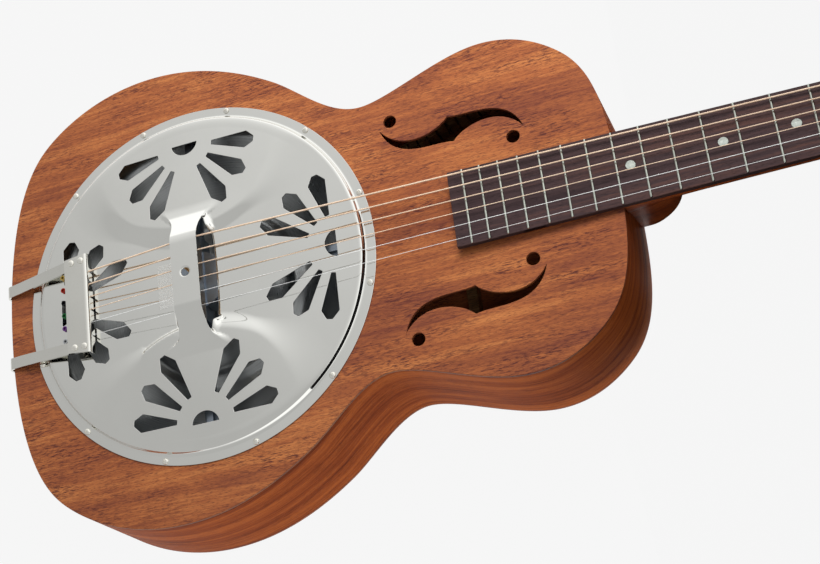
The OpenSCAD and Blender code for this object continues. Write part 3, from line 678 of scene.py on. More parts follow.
def plain(name, colour, rough, grain=0.4, bump=0.01):
    """Plastic, bone or lacquer: a mottled colour with a fine skin."""
    s = Shade(name)
    cloud = s.noise(s.place(0.08), detail=3)
    fine = s.noise(s.place(grain), detail=4)
    s.bump(fine, bump, 0.6)
    return s.surface(s.mix(s.spread(cloud, 0.3, 0.7), colour, shaded(colour, 0.85)),
                     s.spread(fine, 0.3, 0.7, rough, rough + 0.06))


def pearl(name, colour, cool):
    """Pearloid: soft cells that shift between two pale tones."""
    s = Shade(name)
    cell = s.node("ShaderNodeTexVoronoi", feature="SMOOTH_F1")
    cell.inputs["Scale"].default_value = 1.0
    s.link(s.place(0.7, 0.5, 0.7), cell.inputs["Vector"])
    return s.surface(s.mix(s.spread(cell.outputs["Distance"], 0.1, 0.8), colour, cool), 0.22, 0.0,
                     Specular_IOR_Level=0.6)


def rosewood(name):
    s = Shade(name)
    streak = s.noise(s.place(0.02, 0.5, 0.5), detail=4, rough=0.65, distortion=0.3)
    ribbon = s.noise(s.place(0.006, 0.09, 0.09), detail=2)
    pores = s.noise(s.place(0.2, 2.6, 2.6), detail=2)
    tone = s.add(s.times(s.spread(streak, 0.25, 0.75), 0.55),
                  s.times(s.spread(ribbon, 0.3, 0.7), 0.45))
    colour = s.ramp(tone, [(0.2, srgb(44, 33, 35)), (0.55, srgb(59, 45, 46)), (0.8, srgb(74, 52, 48))])
    fleck = s.spread(pores, 0.56, 0.68)
    colour = s.mix(s.times(fleck, 0.7), colour, srgb(25, 18, 19))
    s.bump(s.math("SUBTRACT", s.times(streak, 0.3), fleck), 0.06, 0.6)
    return s.surface(colour, s.spread(streak, 0.2, 0.8, 0.44, 0.55), Specular_IOR_Level=0.12)


def laminated(name, light, dark):
    """Edge-on ply: layers across Z."""
    s = Shade(name)
    axes = s.axes()
    layer = s.math("FRACT", s.times(axes["Z"], 1 / 3.0))
    streak = s.noise(s.place(0.2, 0.2, 1.5), detail=4)
    tone = s.add(s.times(s.math("GREATER_THAN", layer, 0.5), 0.6),
                  s.times(streak, 0.4))
    s.bump(streak, 0.05, 0.5)
    return s.surface(s.mix(tone, light, dark), 0.7)


TOP_WOOD = wood("mahogany_top_finish", srgb(174, 110, 64), srgb(142, 82, 49), srgb(106, 57, 42),
                srgb(66, 33, 34))
BACK_WOOD = wood("mahogany_back_finish", srgb(180, 108, 64), srgb(155, 84, 48), srgb(122, 60, 40),
                 srgb(78, 38, 34), seed=40)
SIDE_WOOD = wood("mahogany_side_finish", srgb(182, 96, 46), srgb(144, 68, 33), srgb(86, 38, 22),
                 srgb(54, 24, 16), band=0.11, attribute="grain", rough=0.4, band_gain=1.6, shine=0.008,
                 flecks=0.4)
NECK_WOOD = wood("mahogany_neck_finish", srgb(188, 102, 50), srgb(158, 76, 36), srgb(118, 52, 28),
                 srgb(74, 34, 24), rough=0.38, seed=15, shine=0.05)
BLOCK_WOOD = wood("block_finish", srgb(176, 130, 92), srgb(150, 104, 70), srgb(120, 80, 52),
                  srgb(84, 52, 36), rough=0.6)
LINING_WOOD = wood("lining_finish", srgb(196, 156, 108), srgb(172, 130, 86), srgb(140, 100, 64),
                   srgb(96, 64, 42), rough=0.65)
PLY = laminated("soundwell_finish", srgb(170, 134, 94), srgb(120, 88, 58))
BOARD_WOOD = rosewood("rosewood_finish")
VENEER = wood("veneer_finish", srgb(58, 44, 42), srgb(44, 33, 33), srgb(32, 24, 24),
              srgb(18, 13, 13), rough=0.3)
COVER_METAL = cover_plate_finish("coverplate_finish", srgb(230, 230, 226))
PLATE_METAL = plated("plated_sheet_finish", srgb(228, 227, 221))
SCREW_METAL = plated("plated_screw_finish", srgb(240, 238, 230), 0.05)
NICKEL = plated("tuner_nickel_finish", srgb(214, 211, 202), 0.12, 0.08)
SPUN_METAL = spun("spun_aluminium_finish", srgb(204, 207, 208))
CAST_METAL = metal("cast_aluminium_finish", srgb(158, 168, 180), 0.34, 0.9, 0.06)
STEEL = metal("steel_finish", srgb(150, 152, 156), 0.28, 1.2, 0.02)
BRASS = metal("brass_finish", srgb(206, 172, 104), 0.22, 1.4, 0.02)
FRET_METAL = metal("fret_finish", srgb(212, 216, 206), 0.1, 1.0, 0.01, 0.5)
MAPLE = wood("maple_finish", srgb(222, 190, 142), srgb(205, 168, 120), srgb(182, 142, 98),
             srgb(140, 100, 66), rough=0.45)
BONE = plain("bone_finish", srgb(236, 228, 206), 0.3)
COVER_PLASTIC = plain("truss_cover_finish", srgb(22, 22, 24), 0.16, 0.2, 0.005)
DOT = pearl("dot_finish", srgb(166, 170, 163), srgb(148, 155, 149))
# Each winding's second colour is the painted shade between turns and also its wear tone.
WINDINGS = [wound_wire("winding_%d" % (i + 1), srgb(255, 230, 204), srgb(196, 156, 124), STRING_R[i] * 0.42)
            for i in range(4)]
PLAIN_WIRE = metal("plain_wire_finish", srgb(246, 247, 246), 0.24, 2.0, 0.004, 0.4, 0.35)


# Turned and recessed parts -------------------------------------------

def recessed(part, half, reach, drop):
    """A turned head with a crossed driver recess cut down into its upper side."""
    bm = bmesh.new()
    corners = [bm.verts.new(v) for v in part[0]]
    for f in part[1]:
        bm.faces.new([corners[k] for k in f])
    for way in (Vector((1, 0, 0)), Vector((0, 1, 0))):
        for d in (half, -half, reach, -reach):
            everything = bm.verts[:] + bm.edges[:] + bm.faces[:]
            bmesh.ops.bisect_plane(bm, geom=everything, plane_co=way * d, plane_no=way)
    bm.normal_update()

    def in_recess(p):
        near_middle, far = sorted((abs(p.x), abs(p.y)))
        return near_middle < half and far < reach

    floor = [f for f in bm.faces if f.normal.z > 0.3 and in_recess(f.calc_center_median())]
    for item in bmesh.ops.extrude_face_region(bm, geom=floor)["geom"]:
        if isinstance(item, bmesh.types.BMVert):
            item.co.z -= drop
    if all(f.is_valid for f in floor):
        bmesh.ops.delete(bm, geom=floor, context="FACES_ONLY")
    bm.verts.index_update()
    verts = [tuple(v.co) for v in bm.verts]
    faces = [tuple(v.index for v in f.verts) for f in bm.faces]
    bm.free()
    return verts, faces


def turned(name, part, material, spots, replaces):
    """The same part set at several places, as one piece."""
    verts, faces = joined([moved(part, m) for m in spots])
    mesh_piece(name, verts, faces, material, replaces=replaces, sharp=40)


def at(x, y, z, turn=0.0):
    return Matrix.Translation((x, y, z)) @ Matrix.Rotation(math.radians(turn), 4, "Z")


# Body ----------------------------------------------------------------

F_A, F_N, F_C = (np.array(p) for p in ((154.8, 80.3), (208.6, 56.6), (207.4, 67.05)))


def f_loops():
    """The sound holes on the bass side: the long slot and its two round ends."""
    half = np.array(arc_points(F_A, (164, 51.1), (193.6, 60.6), F_N, 16, False)
                    + arc_points(F_N, (217, 66.5), (244.5, 76), 2 * F_C - F_A, 16, False))
    return [np.vstack([half, 2 * F_C - half]), circle(163.4, 86.2, 4.9, 40), circle(251.3, 47.6, 4.9, 40)]


SCREW_SPOTS = [rotated(np.array([[SCREW_CIRCLE, 0.0]]), 15 + 30 * k)[0] for k in range(12)]
openings = f_loops()
openings += [loop * (1, -1) for loop in openings]
board = sheet_parts(full_outline(), [circle(0, 0, WELL_R, 180)] + openings
                    + [circle(x, y, 1.1, 12) for x, y in SCREW_SPOTS], flat_height(TOP_Z), PLATE_T, 0.35, 12)
sheet_piece("top_board", board, TOP_WOOD, "top")
board = sheet_parts(full_outline(), [], flat_height(PLATE_T), PLATE_T, 0.5, 14)
sheet_piece("back_board", board, BACK_WOOD, "back")

for side, node in ((1, "side_bass"), (-1, "side_treble")):
    outer = half_outline(24)
    inner = outer - path_normals(outer) * SIDE_T
    run = np.concatenate([[0], np.cumsum(np.linalg.norm(np.diff(outer, axis=0), axis=1))])
    rings, grain = [], []
    for p, q, s in zip(outer, inner, run):
        rings.append([(p[0], side * p[1], PLATE_T), (p[0], side * p[1], TOP_Z - PLATE_T),
                      (q[0], side * q[1], TOP_Z - PLATE_T), (q[0], side * q[1], PLATE_T)])
        grain += [(s, z, side * 50) for z in (PLATE_T, TOP_Z - PLATE_T, TOP_Z - PLATE_T, PLATE_T)]
    verts, faces = loft_parts(rings)
    if side > 0:
        faces = [f[::-1] for f in faces]
    o = mesh_piece("bent_" + node, verts, faces, SIDE_WOOD, replaces=node, sharp=40)
    store = o.data.attributes.new("grain", "FLOAT_VECTOR", "POINT")
    store.data.foreach_set("vector", np.array(grain, float).ravel())

for node in ("lining_top", "lining_back", "back_braces"):
    eased_copy(node, LINING_WOOD, 0.25, 1)
for node in ("neck_block", "tail_block"):
    eased_copy(node, BLOCK_WOOD, 0.5)
eased_copy("soundwell", PLY, 0.35, 1)

# Resonator -----------------------------------------------------------

CONE_PATH = ((2.1, -14.2), (9, -14.2), (13, -16), (54, -35), (59, -36), (63, -33.4), (66, -32),
             (69, -33.4), (73, -35.4), (80, -34.4), (104, -24), (121, -14.6), (125, -12), (132, -12),
             (132.8, -12.2), (133, -12.5), (132.8, -12.8), (132, -13), (124.6, -13), (120.6, -15.6),
             (103.6, -25), (79.6, -35.4), (73, -36.4), (68.6, -34.4), (66, -33), (63.4, -34.4), (59, -37),
             (53.6, -36), (12.6, -17), (9, -15.2), (2.1, -15.2), (2.1, -14.2))
verts, faces = lathe_parts(eased_run(CONE_PATH, 2.2, 5), 160)
mesh_piece("spun_cone", verts, [f[::-1] for f in faces], SPUN_METAL, replaces="cone",
           matrix=at(0, 0, TOP_Z), sharp=60)
eased_copy("spider", CAST_METAL, 0.5, 2)
eased_copy("saddle_bass", MAPLE, 0.12, 1)
eased_copy("saddle_treble", MAPLE, 0.12, 1)
eased_copy("tension_screw", STEEL, 0.2)

# Coverplate ----------------------------------------------------------

STEP = np.array(arc_points((124, VALLEY_Z + 0.6), (129.5, VALLEY_Z + 0.4), (131.6, 4.6), (132.5, 3.5), 40)
                + arc_points((132.5, 3.5), (134.1, 1.1), (134.3, 1), (135.8, 1), 30)[1:] + [(142, 1)])
CREST = np.array(eased_run(((0, REST_Z), (29.5, REST_Z), (52, CROWN_Z + 0.7), (62, CROWN_Z - 0.6)), 5, 14))
FLARE = np.array(arc_points((REST_HALF, 34), (REST_HALF, 44), (13, 48), (19, 57), 40))
MOUTH = np.array(arc_points((16.8, 0), (16.8, 22), (16.4, 38), (12, 47.2), 60))


def smooth_step(v):
    v = np.clip(v, 0, 1)
    return v * v * (3 - 2 * v)


def soft_pick(a, b, k, sign):
    """The greater (sign 1) or lesser (sign -1) of two heights, rounded over k where they meet."""
    h = np.clip(0.5 + 0.5 * sign * (a - b) / k, 0, 1)
    return b + (a - b) * h + sign * k * h * (1 - h)


def rest_half(y):
    return np.interp(np.abs(y), FLARE[:, 1], FLARE[:, 0])


def wall_width(x, y):
    """Width of the pressed wall between the string valley and the crown."""
    ax = np.abs(x)
    width = 10 + 32 * smooth_step((ax - 42) / 50)
    close = smooth_step((48 - ax) / 5)
    slow = smooth_step((74 - ax) / 50)
    width = np.where((x < 0) & (y < 0), width - (width - 5) * close, width)
    return width + np.where((x < 0) & (y > 0), 8, np.where((x > 0) & (y < 0), 4, 0)) * slow


def mouth_gap(x, y):
    """Distance along X from the outer edge of the gap beside the palm rest."""
    return np.abs(x) - np.interp(np.abs(y), MOUTH[:, 1], MOUTH[:, 0])


def rolled(d, r):
    """How far an edge rolled over with radius r has dropped at distance d from its end."""
    t = np.clip(1 - d / r, 0, 0.985)
    return r * (1 - np.sqrt(1 - t * t))


def cover_height(x, y):
    r = np.hypot(x, y)
    ay = np.abs(y)
    crown = np.interp(r, (46, 124), (CROWN_Z, VALLEY_Z + 0.6))
    rise = smooth_step((92 - np.hypot(x, ay - 128)) / wall_width(x, y) + 0.5)
    rise = np.where(ay > 120, 1, rise)
    plate = VALLEY_Z + (crown - VALLEY_Z) * rise
    step = np.interp(r, STEP[:, 0], STEP[:, 1])
    plate = np.where(r > 124, soft_pick(step, plate, 0.25, -1), plate)
    crest = np.interp(ay, CREST[:, 0], CREST[:, 1])
    fade = 1 + np.where((x < 0) & (y > 0), 4, 8) * smooth_step((ay - 45) / 9)
    share = smooth_step((rest_half(y) + fade - np.abs(x)) / fade)
    gap = mouth_gap(x, y)
    pad = 0.45 * smooth_step((6 - gap) / 6) * (x > 0)
    pad *= smooth_step((ay - 33) / 6) * smooth_step((53 - ay) / 6)
    share = np.maximum(share, np.where(gap > -1.5, pad, 0)) * smooth_step((61 - ay) / 7)
    plate = plate + share * np.maximum(0, crest - plate)
    roll = rolled(gap, 2.4) * smooth_step((40 - ay) / 8)
    plate = plate - np.where((gap > -0.5) & (gap < 2.4) & (ay < 44), roll, 0)
    return TOP_Z + plate - np.where(r < 4.6, rolled(r - 3.25, 1.3), 0)


def fan_loops(turn):
    out = []
    for side in (1, -1):
        for lean, reach in ((-28, 64.2), (-53, 60.2), (-79, 58.4)):
            belly = 0.52 * reach + 21.5
            petal = round_corners(np.array(((-1.8, 23), (1.8, 23), (7.1, belly), (2.3, reach),
                                            (-2.3, reach), (-7.1, belly)), float), 0.5, 3)
            petal = rotated(petal, lean) * (side, 1) + (0, -FAN_R)
            out.append(resample(rotated(petal, turn), 2.2))
    low, r = -FAN_R - 2.2, 10.9
    lift = -FAN_R - 0.5 - low
    a0 = math.asin(lift / r)
    moon = np.array([(r * math.cos(t), low + r * math.sin(t)) for t in np.linspace(a0, math.pi - a0, 30)])
    out.append(resample(rotated(round_corners(moon, 0.7, 3), turn), 2.2))
    return out


def slot_loop(sign):
    """The gap beside the palm rest; sign 1 is the neck side."""
    ys = np.linspace(-45.2, 45.2, 70)
    edge = np.column_stack([rest_half(ys), ys])
    outer = MOUTH[MOUTH[:, 1] < 46.2]
    loop = np.vstack([edge, outer[::-1], outer[1:] * (1, -1)])
    return resample(round_corners(loop, 0.8, 3) * (sign, 1), 1.6)


def beside(sign):
    """Runs of points along the rolled edge of that gap."""
    run = np.array([(np.interp(abs(y), MOUTH[:, 1], MOUTH[:, 0]), y) for y in np.linspace(-43, 43, 87)])
    return [(run + (d, 0)) * (sign, 1) for d in (0.45, 0.8, 1.2, 1.7, 2.3, 3.0)]


cut_outs = [loop for turn in (0, 90, 180, 270) for loop in fan_loops(turn)]
cut_outs += [slot_loop(1), slot_loop(-1), circle(0, 0, 3.25, 40)]
cut_outs += [circle(x, y, 1.7, 20) for x, y in SCREW_SPOTS]
rings = [circle(0, 0, r, 360) for r in list(np.arange(121.5, 128, 1.3)) + list(np.arange(128.4, 136.2, 0.35))]
rings += [circle(0, 0, r, 40) for r in (3.6, 3.9, 4.3, 4.8)] + beside(1) + beside(-1)


def off_runs(x, y):
    r, gap = np.hypot(x, y), mouth_gap(x, y)
    return ((r < 120.3) | (r > 137)) & (r > 5.6) & ((gap < 0) | (gap > 3.5) | (np.abs(y) > 44))


cover = sheet_parts(circle(0, 0, COVER_R, 360), cut_outs, cover_height, 1.0, 0.22, 2.6, rings,
                    (72, 70, 1.6), off_runs)
sheet_piece("domed_coverplate", cover, COVER_METAL, "coverplate")

PAN = eased_run(((0.9, -11.5), (0.9, 1.02), (2.5, 1.02), (2.45, 1.5), (2.1, 2.0), (1.3, 2.4), (0, 2.55)),
                0.35, 4)
pan = recessed(lathe_parts([(0, -12)] + list(PAN), 40), 0.24, 1.25, 0.55)
turned("cover_screw_heads", pan, SCREW_METAL,
       [at(x, y, TOP_Z, 23 * k) for k, (x, y) in enumerate(SCREW_SPOTS)], "coverplate_screws")

# Tailpiece -----------------------------------------------------------

eased_copy("tailpiece_frame", PLATE_METAL, 0.3, 3)
eased_copy("tailpiece_crossbar", PLATE_METAL, 0.22, 2)
DOME = eased_run(((2.2, -3.6), (2.2, -3.1), (1.3, -3.1), (1.3, 0.02), (2.6, 0.02), (2.5, 0.6), (1.9, 1.1),
                  (1.0, 1.36), (0, 1.4)), 0.3, 4)
rivet = lathe_parts([(0, -3.6)] + list(DOME), 40)
turned("tailpiece_rivet_heads", rivet, SCREW_METAL,
       [at(x, s * y, CROSS_Z) for x, y in ((-98.6, 34.9), (-90.4, 35.3)) for s in (1, -1)],
       "tailpiece_rivets")

BALL_PATH = eased_run(((1, -1.7), (2, -1.7), (2, -1), (1.6, -0.5), (1.6, 0.5), (2, 1), (2, 1.7), (1, 1.7),
                       (1, -1.7)), 0.3, 4)
ball = lathe_parts(BALL_PATH, 40)
BALL_TINTS = ((206, 176, 96), (192, 60, 44), (34, 34, 38), (52, 118, 72), (122, 74, 146), (196, 198, 202))
for i, tint in enumerate(BALL_TINTS):
    verts, faces = moved(ball, at(BALL_X, TAIL_HALF * STRING_SHARE[i], BALL_Z))
    finish = metal("ball_finish_%d" % (i + 1), srgb(*tint), 0.2, 1.5, 0.01)
    mesh_piece("ball_%d" % (i + 1), verts, faces, finish, replaces="ball_ends", sharp=50)

BUTTON = eased_run(((1.8, -13), (1.8, 0), (7, 0), (6.6, 1.4), (4.4, 3), (3.8, 6), (4.6, 8.6), (7.4, 10.6),
                    (7.4, 12.2), (6.4, 13.2), (0, 13.8)), 0.9, 5)
button = recessed(lathe_parts([(0, -15)] + list(BUTTON), 64), 0.5, 2.6, 1.4)
turned("strap_button_turned", button, SCREW_METAL,
       [at(TAIL_X - 2, 0, TOP_Z / 2) @ tilt(-math.pi / 2)], "strap_button")

# Neck ----------------------------------------------------------------


def board_half(u):
    return JOIN_HALF - (JOIN_HALF - NUT_HALF) * u / NUT_U


def fret_u(n):
    return NUT_U - SCALE * (1 - 2 ** (-n / 12))


def shaft_depth(u):
    return 15.2 + 2.8 * (NUT_U - u) / NUT_U if u > 62 else 17.6 + 17 * ((62 - u) / 62) ** 2.4


def half_round(u, half, top, depth, steps=36):
    a = np.linspace(0, math.pi, steps + 1)
    return [(u, -half * math.cos(t), top - depth * abs(math.sin(t)) ** 0.92) for t in a]


shaft = [half_round(u, board_half(u), -BOARD_T, shaft_depth(u)) for u in
         list(np.linspace(0.4, 62, 22)) + list(np.linspace(75, SHAFT_END, 22))]
shaft += [half_round(SHAFT_END + 20 * t, 23.3 - 2.3 * t, -BOARD_T - 0.7 - 8.3 * t, 14.5 - 6.5 * t)
          for t in (0.02, 0.2, 0.4, 0.6, 0.8, 1.0)]
verts, faces = loft_parts(shaft)
mesh_piece("neck_shaft", verts, faces, NECK_WOOD, replaces="neck", matrix=ON_NECK, sharp=50)


def heel_ring(z, steps=36):
    reach = 38 * max(0, 1 - (z / 84) ** 4.2) ** 0.62
    half = 26.8 - 0.2 * z - (0.05 * (z - 74) ** 2 if z > 74 else 0)
    a = np.linspace(-math.pi / 2, math.pi / 2, steps + 1)
    return [(JOIN_X + 0.02 + reach * abs(math.cos(t)) ** 0.5, half * math.sin(t), TOP_Z - z) for t in a]


heel_levels = [*np.linspace(1, 60, 20), *np.linspace(62, 83.2, 16)]
verts, faces = loft_parts([heel_ring(z) for z in heel_levels])
mesh_piece("neck_heel", verts, [f[::-1] for f in faces], NECK_WOOD, sharp=50)


def head_outline():
    edge = [(0.0, 23.3)] + arc_points((0, 23.3), (12, 24), (16, 34.5), (32, 35), 16)[1:]
    edge += arc_points((HEAD_LEN - 12, 37), (HEAD_LEN - 4, 37.3), (HEAD_LEN - 2, 34), (HEAD_LEN - 3, 28), 12)
    edge += arc_points((HEAD_LEN - 3, 28), (HEAD_LEN - 5, 16), (HEAD_LEN, 6), (HEAD_LEN, 0), 16)[1:]
    edge = np.array(edge)
    return resample(np.vstack([edge, edge[-2::-1] * (1, -1)]), 6)


post_holes = [circle(POST_S[i], POST_SIDE[i] * POST_Y, 4.4, 32) for i in range(6)]
pocket = resample(np.array(((1.2, -5.5), (22.4, -5.5), (22.4, 5.5), (1.2, 5.5)), float), 4)
core = sheet_parts(head_outline(), post_holes + [pocket], flat_height(-VENEER_T), CORE_T, 0.9, 9)
sheet_piece("headstock_core", core, NECK_WOOD, None, ON_HEAD)
face = sheet_parts(head_outline(), post_holes + [pocket], flat_height(0), VENEER_T, 0.3, 9)
sheet_piece("headstock_face", face, VENEER, "headstock_veneer", ON_HEAD)

strip = resample(np.array(((BOARD_END, -board_half(BOARD_END)), (NUT_U, -NUT_HALF), (NUT_U, NUT_HALF),
                           (BOARD_END, board_half(BOARD_END)))), 8)
DOT_FRETS = (3, 5, 7, 9, 12)
dot_spots = [(fret_u(n) + fret_u(n - 1)) / 2 for n in DOT_FRETS]
strip = sheet_parts(strip, [circle(u, 0, 3.4, 40) for u in dot_spots], flat_height(0), BOARD_T, 0.45, 10)
sheet_piece("fingerboard_strip", strip, BOARD_WOOD, "fingerboard", ON_NECK)
under = board_half(BOARD_END) - 0.6
tongue_ends = ((BOARD_END + 0.5, under, 0.5), (2, 27, 2.9))
verts, faces = loft_parts([[(u, -half, -BOARD_T - deep), (u, half, -BOARD_T - deep), (u, half, -BOARD_T),
                            (u, -half, -BOARD_T)] for u, half, deep in tongue_ends])
mesh_piece("neck_tongue", verts, [f[::-1] for f in faces], NECK_WOOD, matrix=ON_NECK, smooth=False)
disc = lathe_parts([(0, -1.5), (3.36, -1.5), (3.36, 0.0), (3.3, 0.04), (0, 0.05)], 48)
turned("dot_inlays", disc, DOT, [ON_NECK @ at(u, 0, 0) for u in dot_spots], "position_dots")


def fret_parts(n):
    w = board_half(fret_u(n)) - 0.25
    rings = []
    for back, size in ((0, 0.35), (0.12, 0.62), (0.35, 0.82), (0.7, 0.95), (1.2, 1.0)):
        rings.append((-w + back, size))
    rings += [(-y, size) for y, size in rings[::-1]]
    a = np.linspace(0, math.pi, 13)
    return loft_parts([[(fret_u(n) - 0.95 * s * math.cos(t), y, -0.02 + 1.12 * s * math.sin(t)) for t in a]
                       for y, s in rings])


verts, faces = joined([fret_parts(n) for n in range(1, 20)])
mesh_piece("fret_crowns", verts, faces, FRET_METAL, replaces="frets", matrix=ON_NECK, sharp=60)
eased_copy("nut", BONE, 0.2)
eased_copy("truss_rod", STEEL, 0)
eased_copy("truss_rod_nut", BRASS, 0.25)
eased_copy("truss_rod_cover", COVER_PLASTIC, 0.4, 3)
SMALL = eased_run(((0.8, -5), (0.8, 0.01), (2, 0.01), (1.9, 0.4), (1.5, 0.75), (0, 0.92)), 0.25, 4)
small = recessed(lathe_parts([(0, -6)] + list(SMALL), 32), 0.2, 1.0, 0.4)
turned("truss_cover_screw_heads", small, SCREW_METAL,
       [ON_HEAD @ at(x, y, 2, 17 * x) for x, y in ((4.5, 8.6), (4.5, -8.6), (32.5, 0))], "truss_cover_screws")

# Strings -------------------------------------------------------------


def on(matrix, p):
    return np.array(matrix @ Vector(p))


def string_path(i):
    r, side = STRING_R[i], POST_SIDE[i]
    tail, bridge, nut = (STRING_SHARE[i] * half for half in (TAIL_HALF, BRIDGE_HALF, SLOT_HALF))
    steps, reach = 32, 3.06 + r
    wide = reach / math.cos(math.pi / steps)
    a0 = math.atan2(POST_Y - reach - abs(nut), POST_S[i]) - math.pi / 2
    path = [np.array((BALL_X + 2.1, tail, BALL_Z)), np.array((-86.6, tail, TOP_Z + 9.8)),
            np.array((0, bridge, TOP_Z + 17.4)), on(ON_NECK, (NUT_U + 0.2, nut, 1.9)),
            on(ON_NECK, (NUT_U + 3.4, nut, 1.75))]
    for k in range(int(steps * 2.5) + 1):
        a = a0 + 2 * math.pi * (k + 0.5) / steps
        path.append(on(ON_HEAD, (POST_S[i] + wide * math.cos(a), side * (POST_Y + wide * math.sin(a)),
                                 7.4 - 2.15 * r * k / steps)))
    return np.array(path)


def heading_tube(path, radius, up, sides=14):
    """A tube whose rings lie across the mean of the two spans at each point."""
    rings = []
    for k in range(len(path)):
        t = np.zeros(3)
        for a, b in ((k - 1, k), (k, k + 1)):
            if 0 <= a and b < len(path):
                t += unit(path[b] - path[a])
        t = unit(t)
        n = unit(np.cross(up, t))
        b = np.cross(t, n)
        rings.append([path[k] + radius * (math.cos(s) * n + math.sin(s) * b)
                      for s in np.arange(sides) * 2 * math.pi / sides])
    return loft_parts(rings)


HEAD_UP = np.array(ON_HEAD.to_3x3() @ Vector((0, 0, 1)))
for i in range(6):
    verts, faces = heading_tube(string_path(i), STRING_R[i], HEAD_UP)
    mesh_piece("wire_%d" % (i + 1), verts, faces, WINDINGS[i] if i < 4 else PLAIN_WIRE,
               replaces="string_%d" % (i + 1), sharp=70)

# Tuners --------------------------------------------------------------

eased_copy("tuner_plates", NICKEL, 0.25)
COLLAR = eased_run(((3.1, -13.6), (4.36, -13.6), (4.36, 0.02), (5.6, 0.02), (5.6, 0.8), (4.8, 1.6),
                    (3.1, 1.6), (3.1, -13.6)), 0.3, 4)
turned("bushing_collars", lathe_parts(COLLAR, 48), NICKEL, [at_post(i) for i in range(6)],
       "tuner_bushings")
flip = Matrix.Rotation(math.pi, 4, "X")
spots = [at_post(i) @ Matrix.Translation((x, POST_SIDE[i] * y, -VENEER_T - CORE_T - 1)) @ flip
         for i in range(6) for x, y in ((-7, -6), (14.2, 6))]
turned("tuner_screw_heads", small, SCREW_METAL, spots, "tuner_screws")
GRIP = np.array(arc_points((3.6, -0.1), (4.1, 1.8), (8.6, 2.6), (8.4, 7.4), 12)
                + arc_points((8.4, 7.4), (8.2, 12.4), (5.6, 14.4), (0, 14.4), 16)[1:])
GRIP_HALF = 4.2
grip = lathe_parts([(0, -0.1)] + list(GRIP), 64)
grip = ([(x, y / (1 + abs(y / GRIP_HALF) ** 12) ** (1 / 12), z) for x, y, z in grip[0]], grip[1])
for i in range(6):
    side = POST_SIDE[i]
    spot = at_post(i) @ Matrix.Translation((WORM_OUT, side * (KEY_REACH - POST_Y), GEAR_H))
    verts, faces = moved(grip, spot @ Matrix.Rotation(-side * math.pi / 2, 4, "X"))
    mesh_piece("tuner_grip_%d" % (i + 1), verts, faces, NICKEL, "tuner_key_%d" % (i + 1), sharp=50)
for i in range(1, 7):
    eased_copy("tuner_post_%d" % i, NICKEL, 0.15, 1)
    eased_copy("tuner_gear_%d" % i, BRASS, 0.1, 1)
    eased_copy("tuner_worm_%d" % i, NICKEL, 0.3, 2, 50)

# Camera, light and floor ---------------------------------------------

camera = add_object("camera", bpy.data.cameras.new("camera"))
camera.location = (0.44744, -0.48907, 1.09982)
camera.rotation_euler = [math.radians(a) for a in (19.905883, 23.260824, -5.539135)]
camera.data.sensor_width = 36
camera.data.lens = 70.9725
camera.data.shift_x = 0.172817
camera.data.shift_y = 0.054903
bpy.context.scene.camera = camera


def stage_sheet(name, shade, corners, faces):
    """A plain sheet of the studio, in metres."""
    mesh = bpy.data.meshes.new(name)
    mesh.from_pydata(corners, [], faces)
    mesh.materials.append(shade.mat)
    o = add_object(name, mesh)
    return o


floor_mat = Shade("floor_finish")
floor_grain = floor_mat.noise(floor_mat.place(0.004), detail=2)
floor_mat.surface(floor_mat.mix(floor_grain, (0.004, 0.004, 0.004), (0.005, 0.005, 0.005)), 0.9,
                  Specular_IOR_Level=0.0, Emission_Color=(1, 1, 1, 1), Emission_Strength=0.917)
stage_sheet("floor", floor_mat, [(-9, -9, -0.0005), (9, -9, -0.0005), (9, 9, -0.0005), (-9, 9, -0.0005)],
            [(0, 1, 2, 3)])

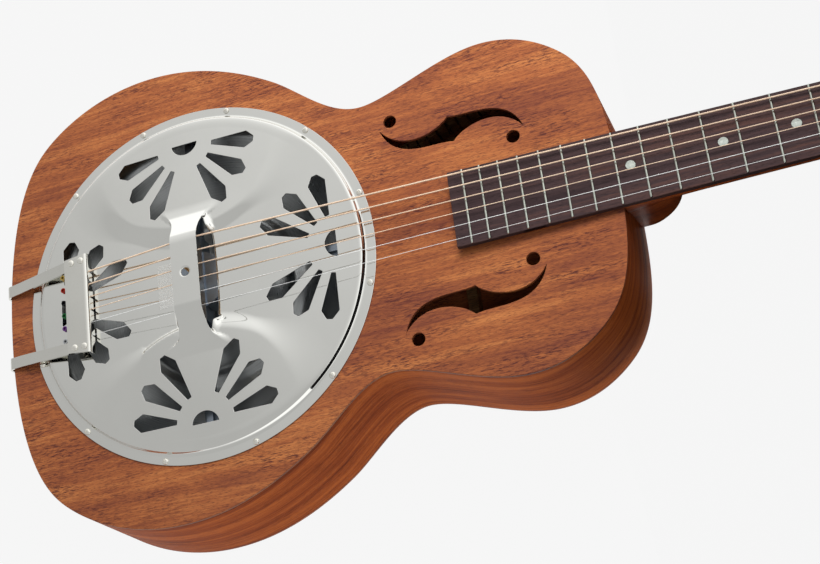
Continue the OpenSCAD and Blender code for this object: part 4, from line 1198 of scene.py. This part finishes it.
flag_mat = Shade("black_flag_finish")
flag_mat.surface((0.01, 0.01, 0.01), 1.0, Specular_IOR_Level=0.0)
flag = stage_sheet("black_flag", flag_mat,
                   [(0.5, -0.7, 0), (0.85, -0.2, 0), (0.85, -0.2, 0.36), (0.5, -0.7, 0.36),
                    (0.322, 0.6, 0), (0.322, -0.05, 0), (0.3, -0.115, 0), (0.275, -0.14, 0),
                    (0.32, -0.6, 0), (0.9, -0.6, 0), (0.9, 0.6, 0), (0.9, -0.6, 0.4), (0.9, 0.6, 0.4)],
                   [(0, 1, 2, 3), (4, 5, 6, 7, 8, 9, 10), (9, 10, 12, 11)])
flag.visible_camera = False

world = bpy.data.worlds.new("studio")
bpy.context.scene.world = world
world.use_nodes = True
tree = world.node_tree


def sky_node(kind, inputs=(), **props):
    n = tree.nodes.new(kind)
    for key, value in props.items():
        setattr(n, key, value)
    for socket, value in zip(n.inputs, inputs):
        if isinstance(value, bpy.types.NodeSocket):
            tree.links.new(value, socket)
        else:
            socket.default_value = value
    return n


where = sky_node("ShaderNodeTexCoord").outputs["Generated"]
height = sky_node("ShaderNodeVectorMath", [where, (-0.45, -0.2, 1)], operation="DOT_PRODUCT").outputs["Value"]
lean = sky_node("ShaderNodeVectorMath", [where, (0.55, 0.6, 0)], operation="DOT_PRODUCT").outputs["Value"]
ceiling = sky_node("ShaderNodeMath", [lean, 0.6], operation="ADD").outputs[0]
ceiling = sky_node("ShaderNodeMath", [ceiling, 0.54], operation="MAXIMUM").outputs[0]
walls = sky_node("ShaderNodeMapRange", [height, 0.2, 0.42, 1.0, 0.0], interpolation_type="SMOOTHSTEP")
light = sky_node("ShaderNodeMix", data_type="FLOAT")
tree.links.new(walls.outputs[0], light.inputs["Factor"])
tree.links.new(ceiling, light.inputs["A"])
light.inputs["B"].default_value = 1.3
tree.links.new(light.outputs["Result"], tree.nodes["Background"].inputs["Strength"])
tree.nodes["Background"].inputs["Color"].default_value = (1.0, 1.0, 0.99, 1)

key = add_object("key", bpy.data.lights.new("key", "AREA"))
key.data.shape = "DISK"
key.data.size = 0.5
key.data.energy = 8
key.location = (0.35, 0.45, 0.7)
key.rotation_euler = Vector((0.15, 0.4, 0.6)).to_track_quat("Z", "Y").to_euler()
key.visible_glossy = False
bpy.context.scene.view_settings.view_transform = "Standard"

bpy.context.view_layer.update()
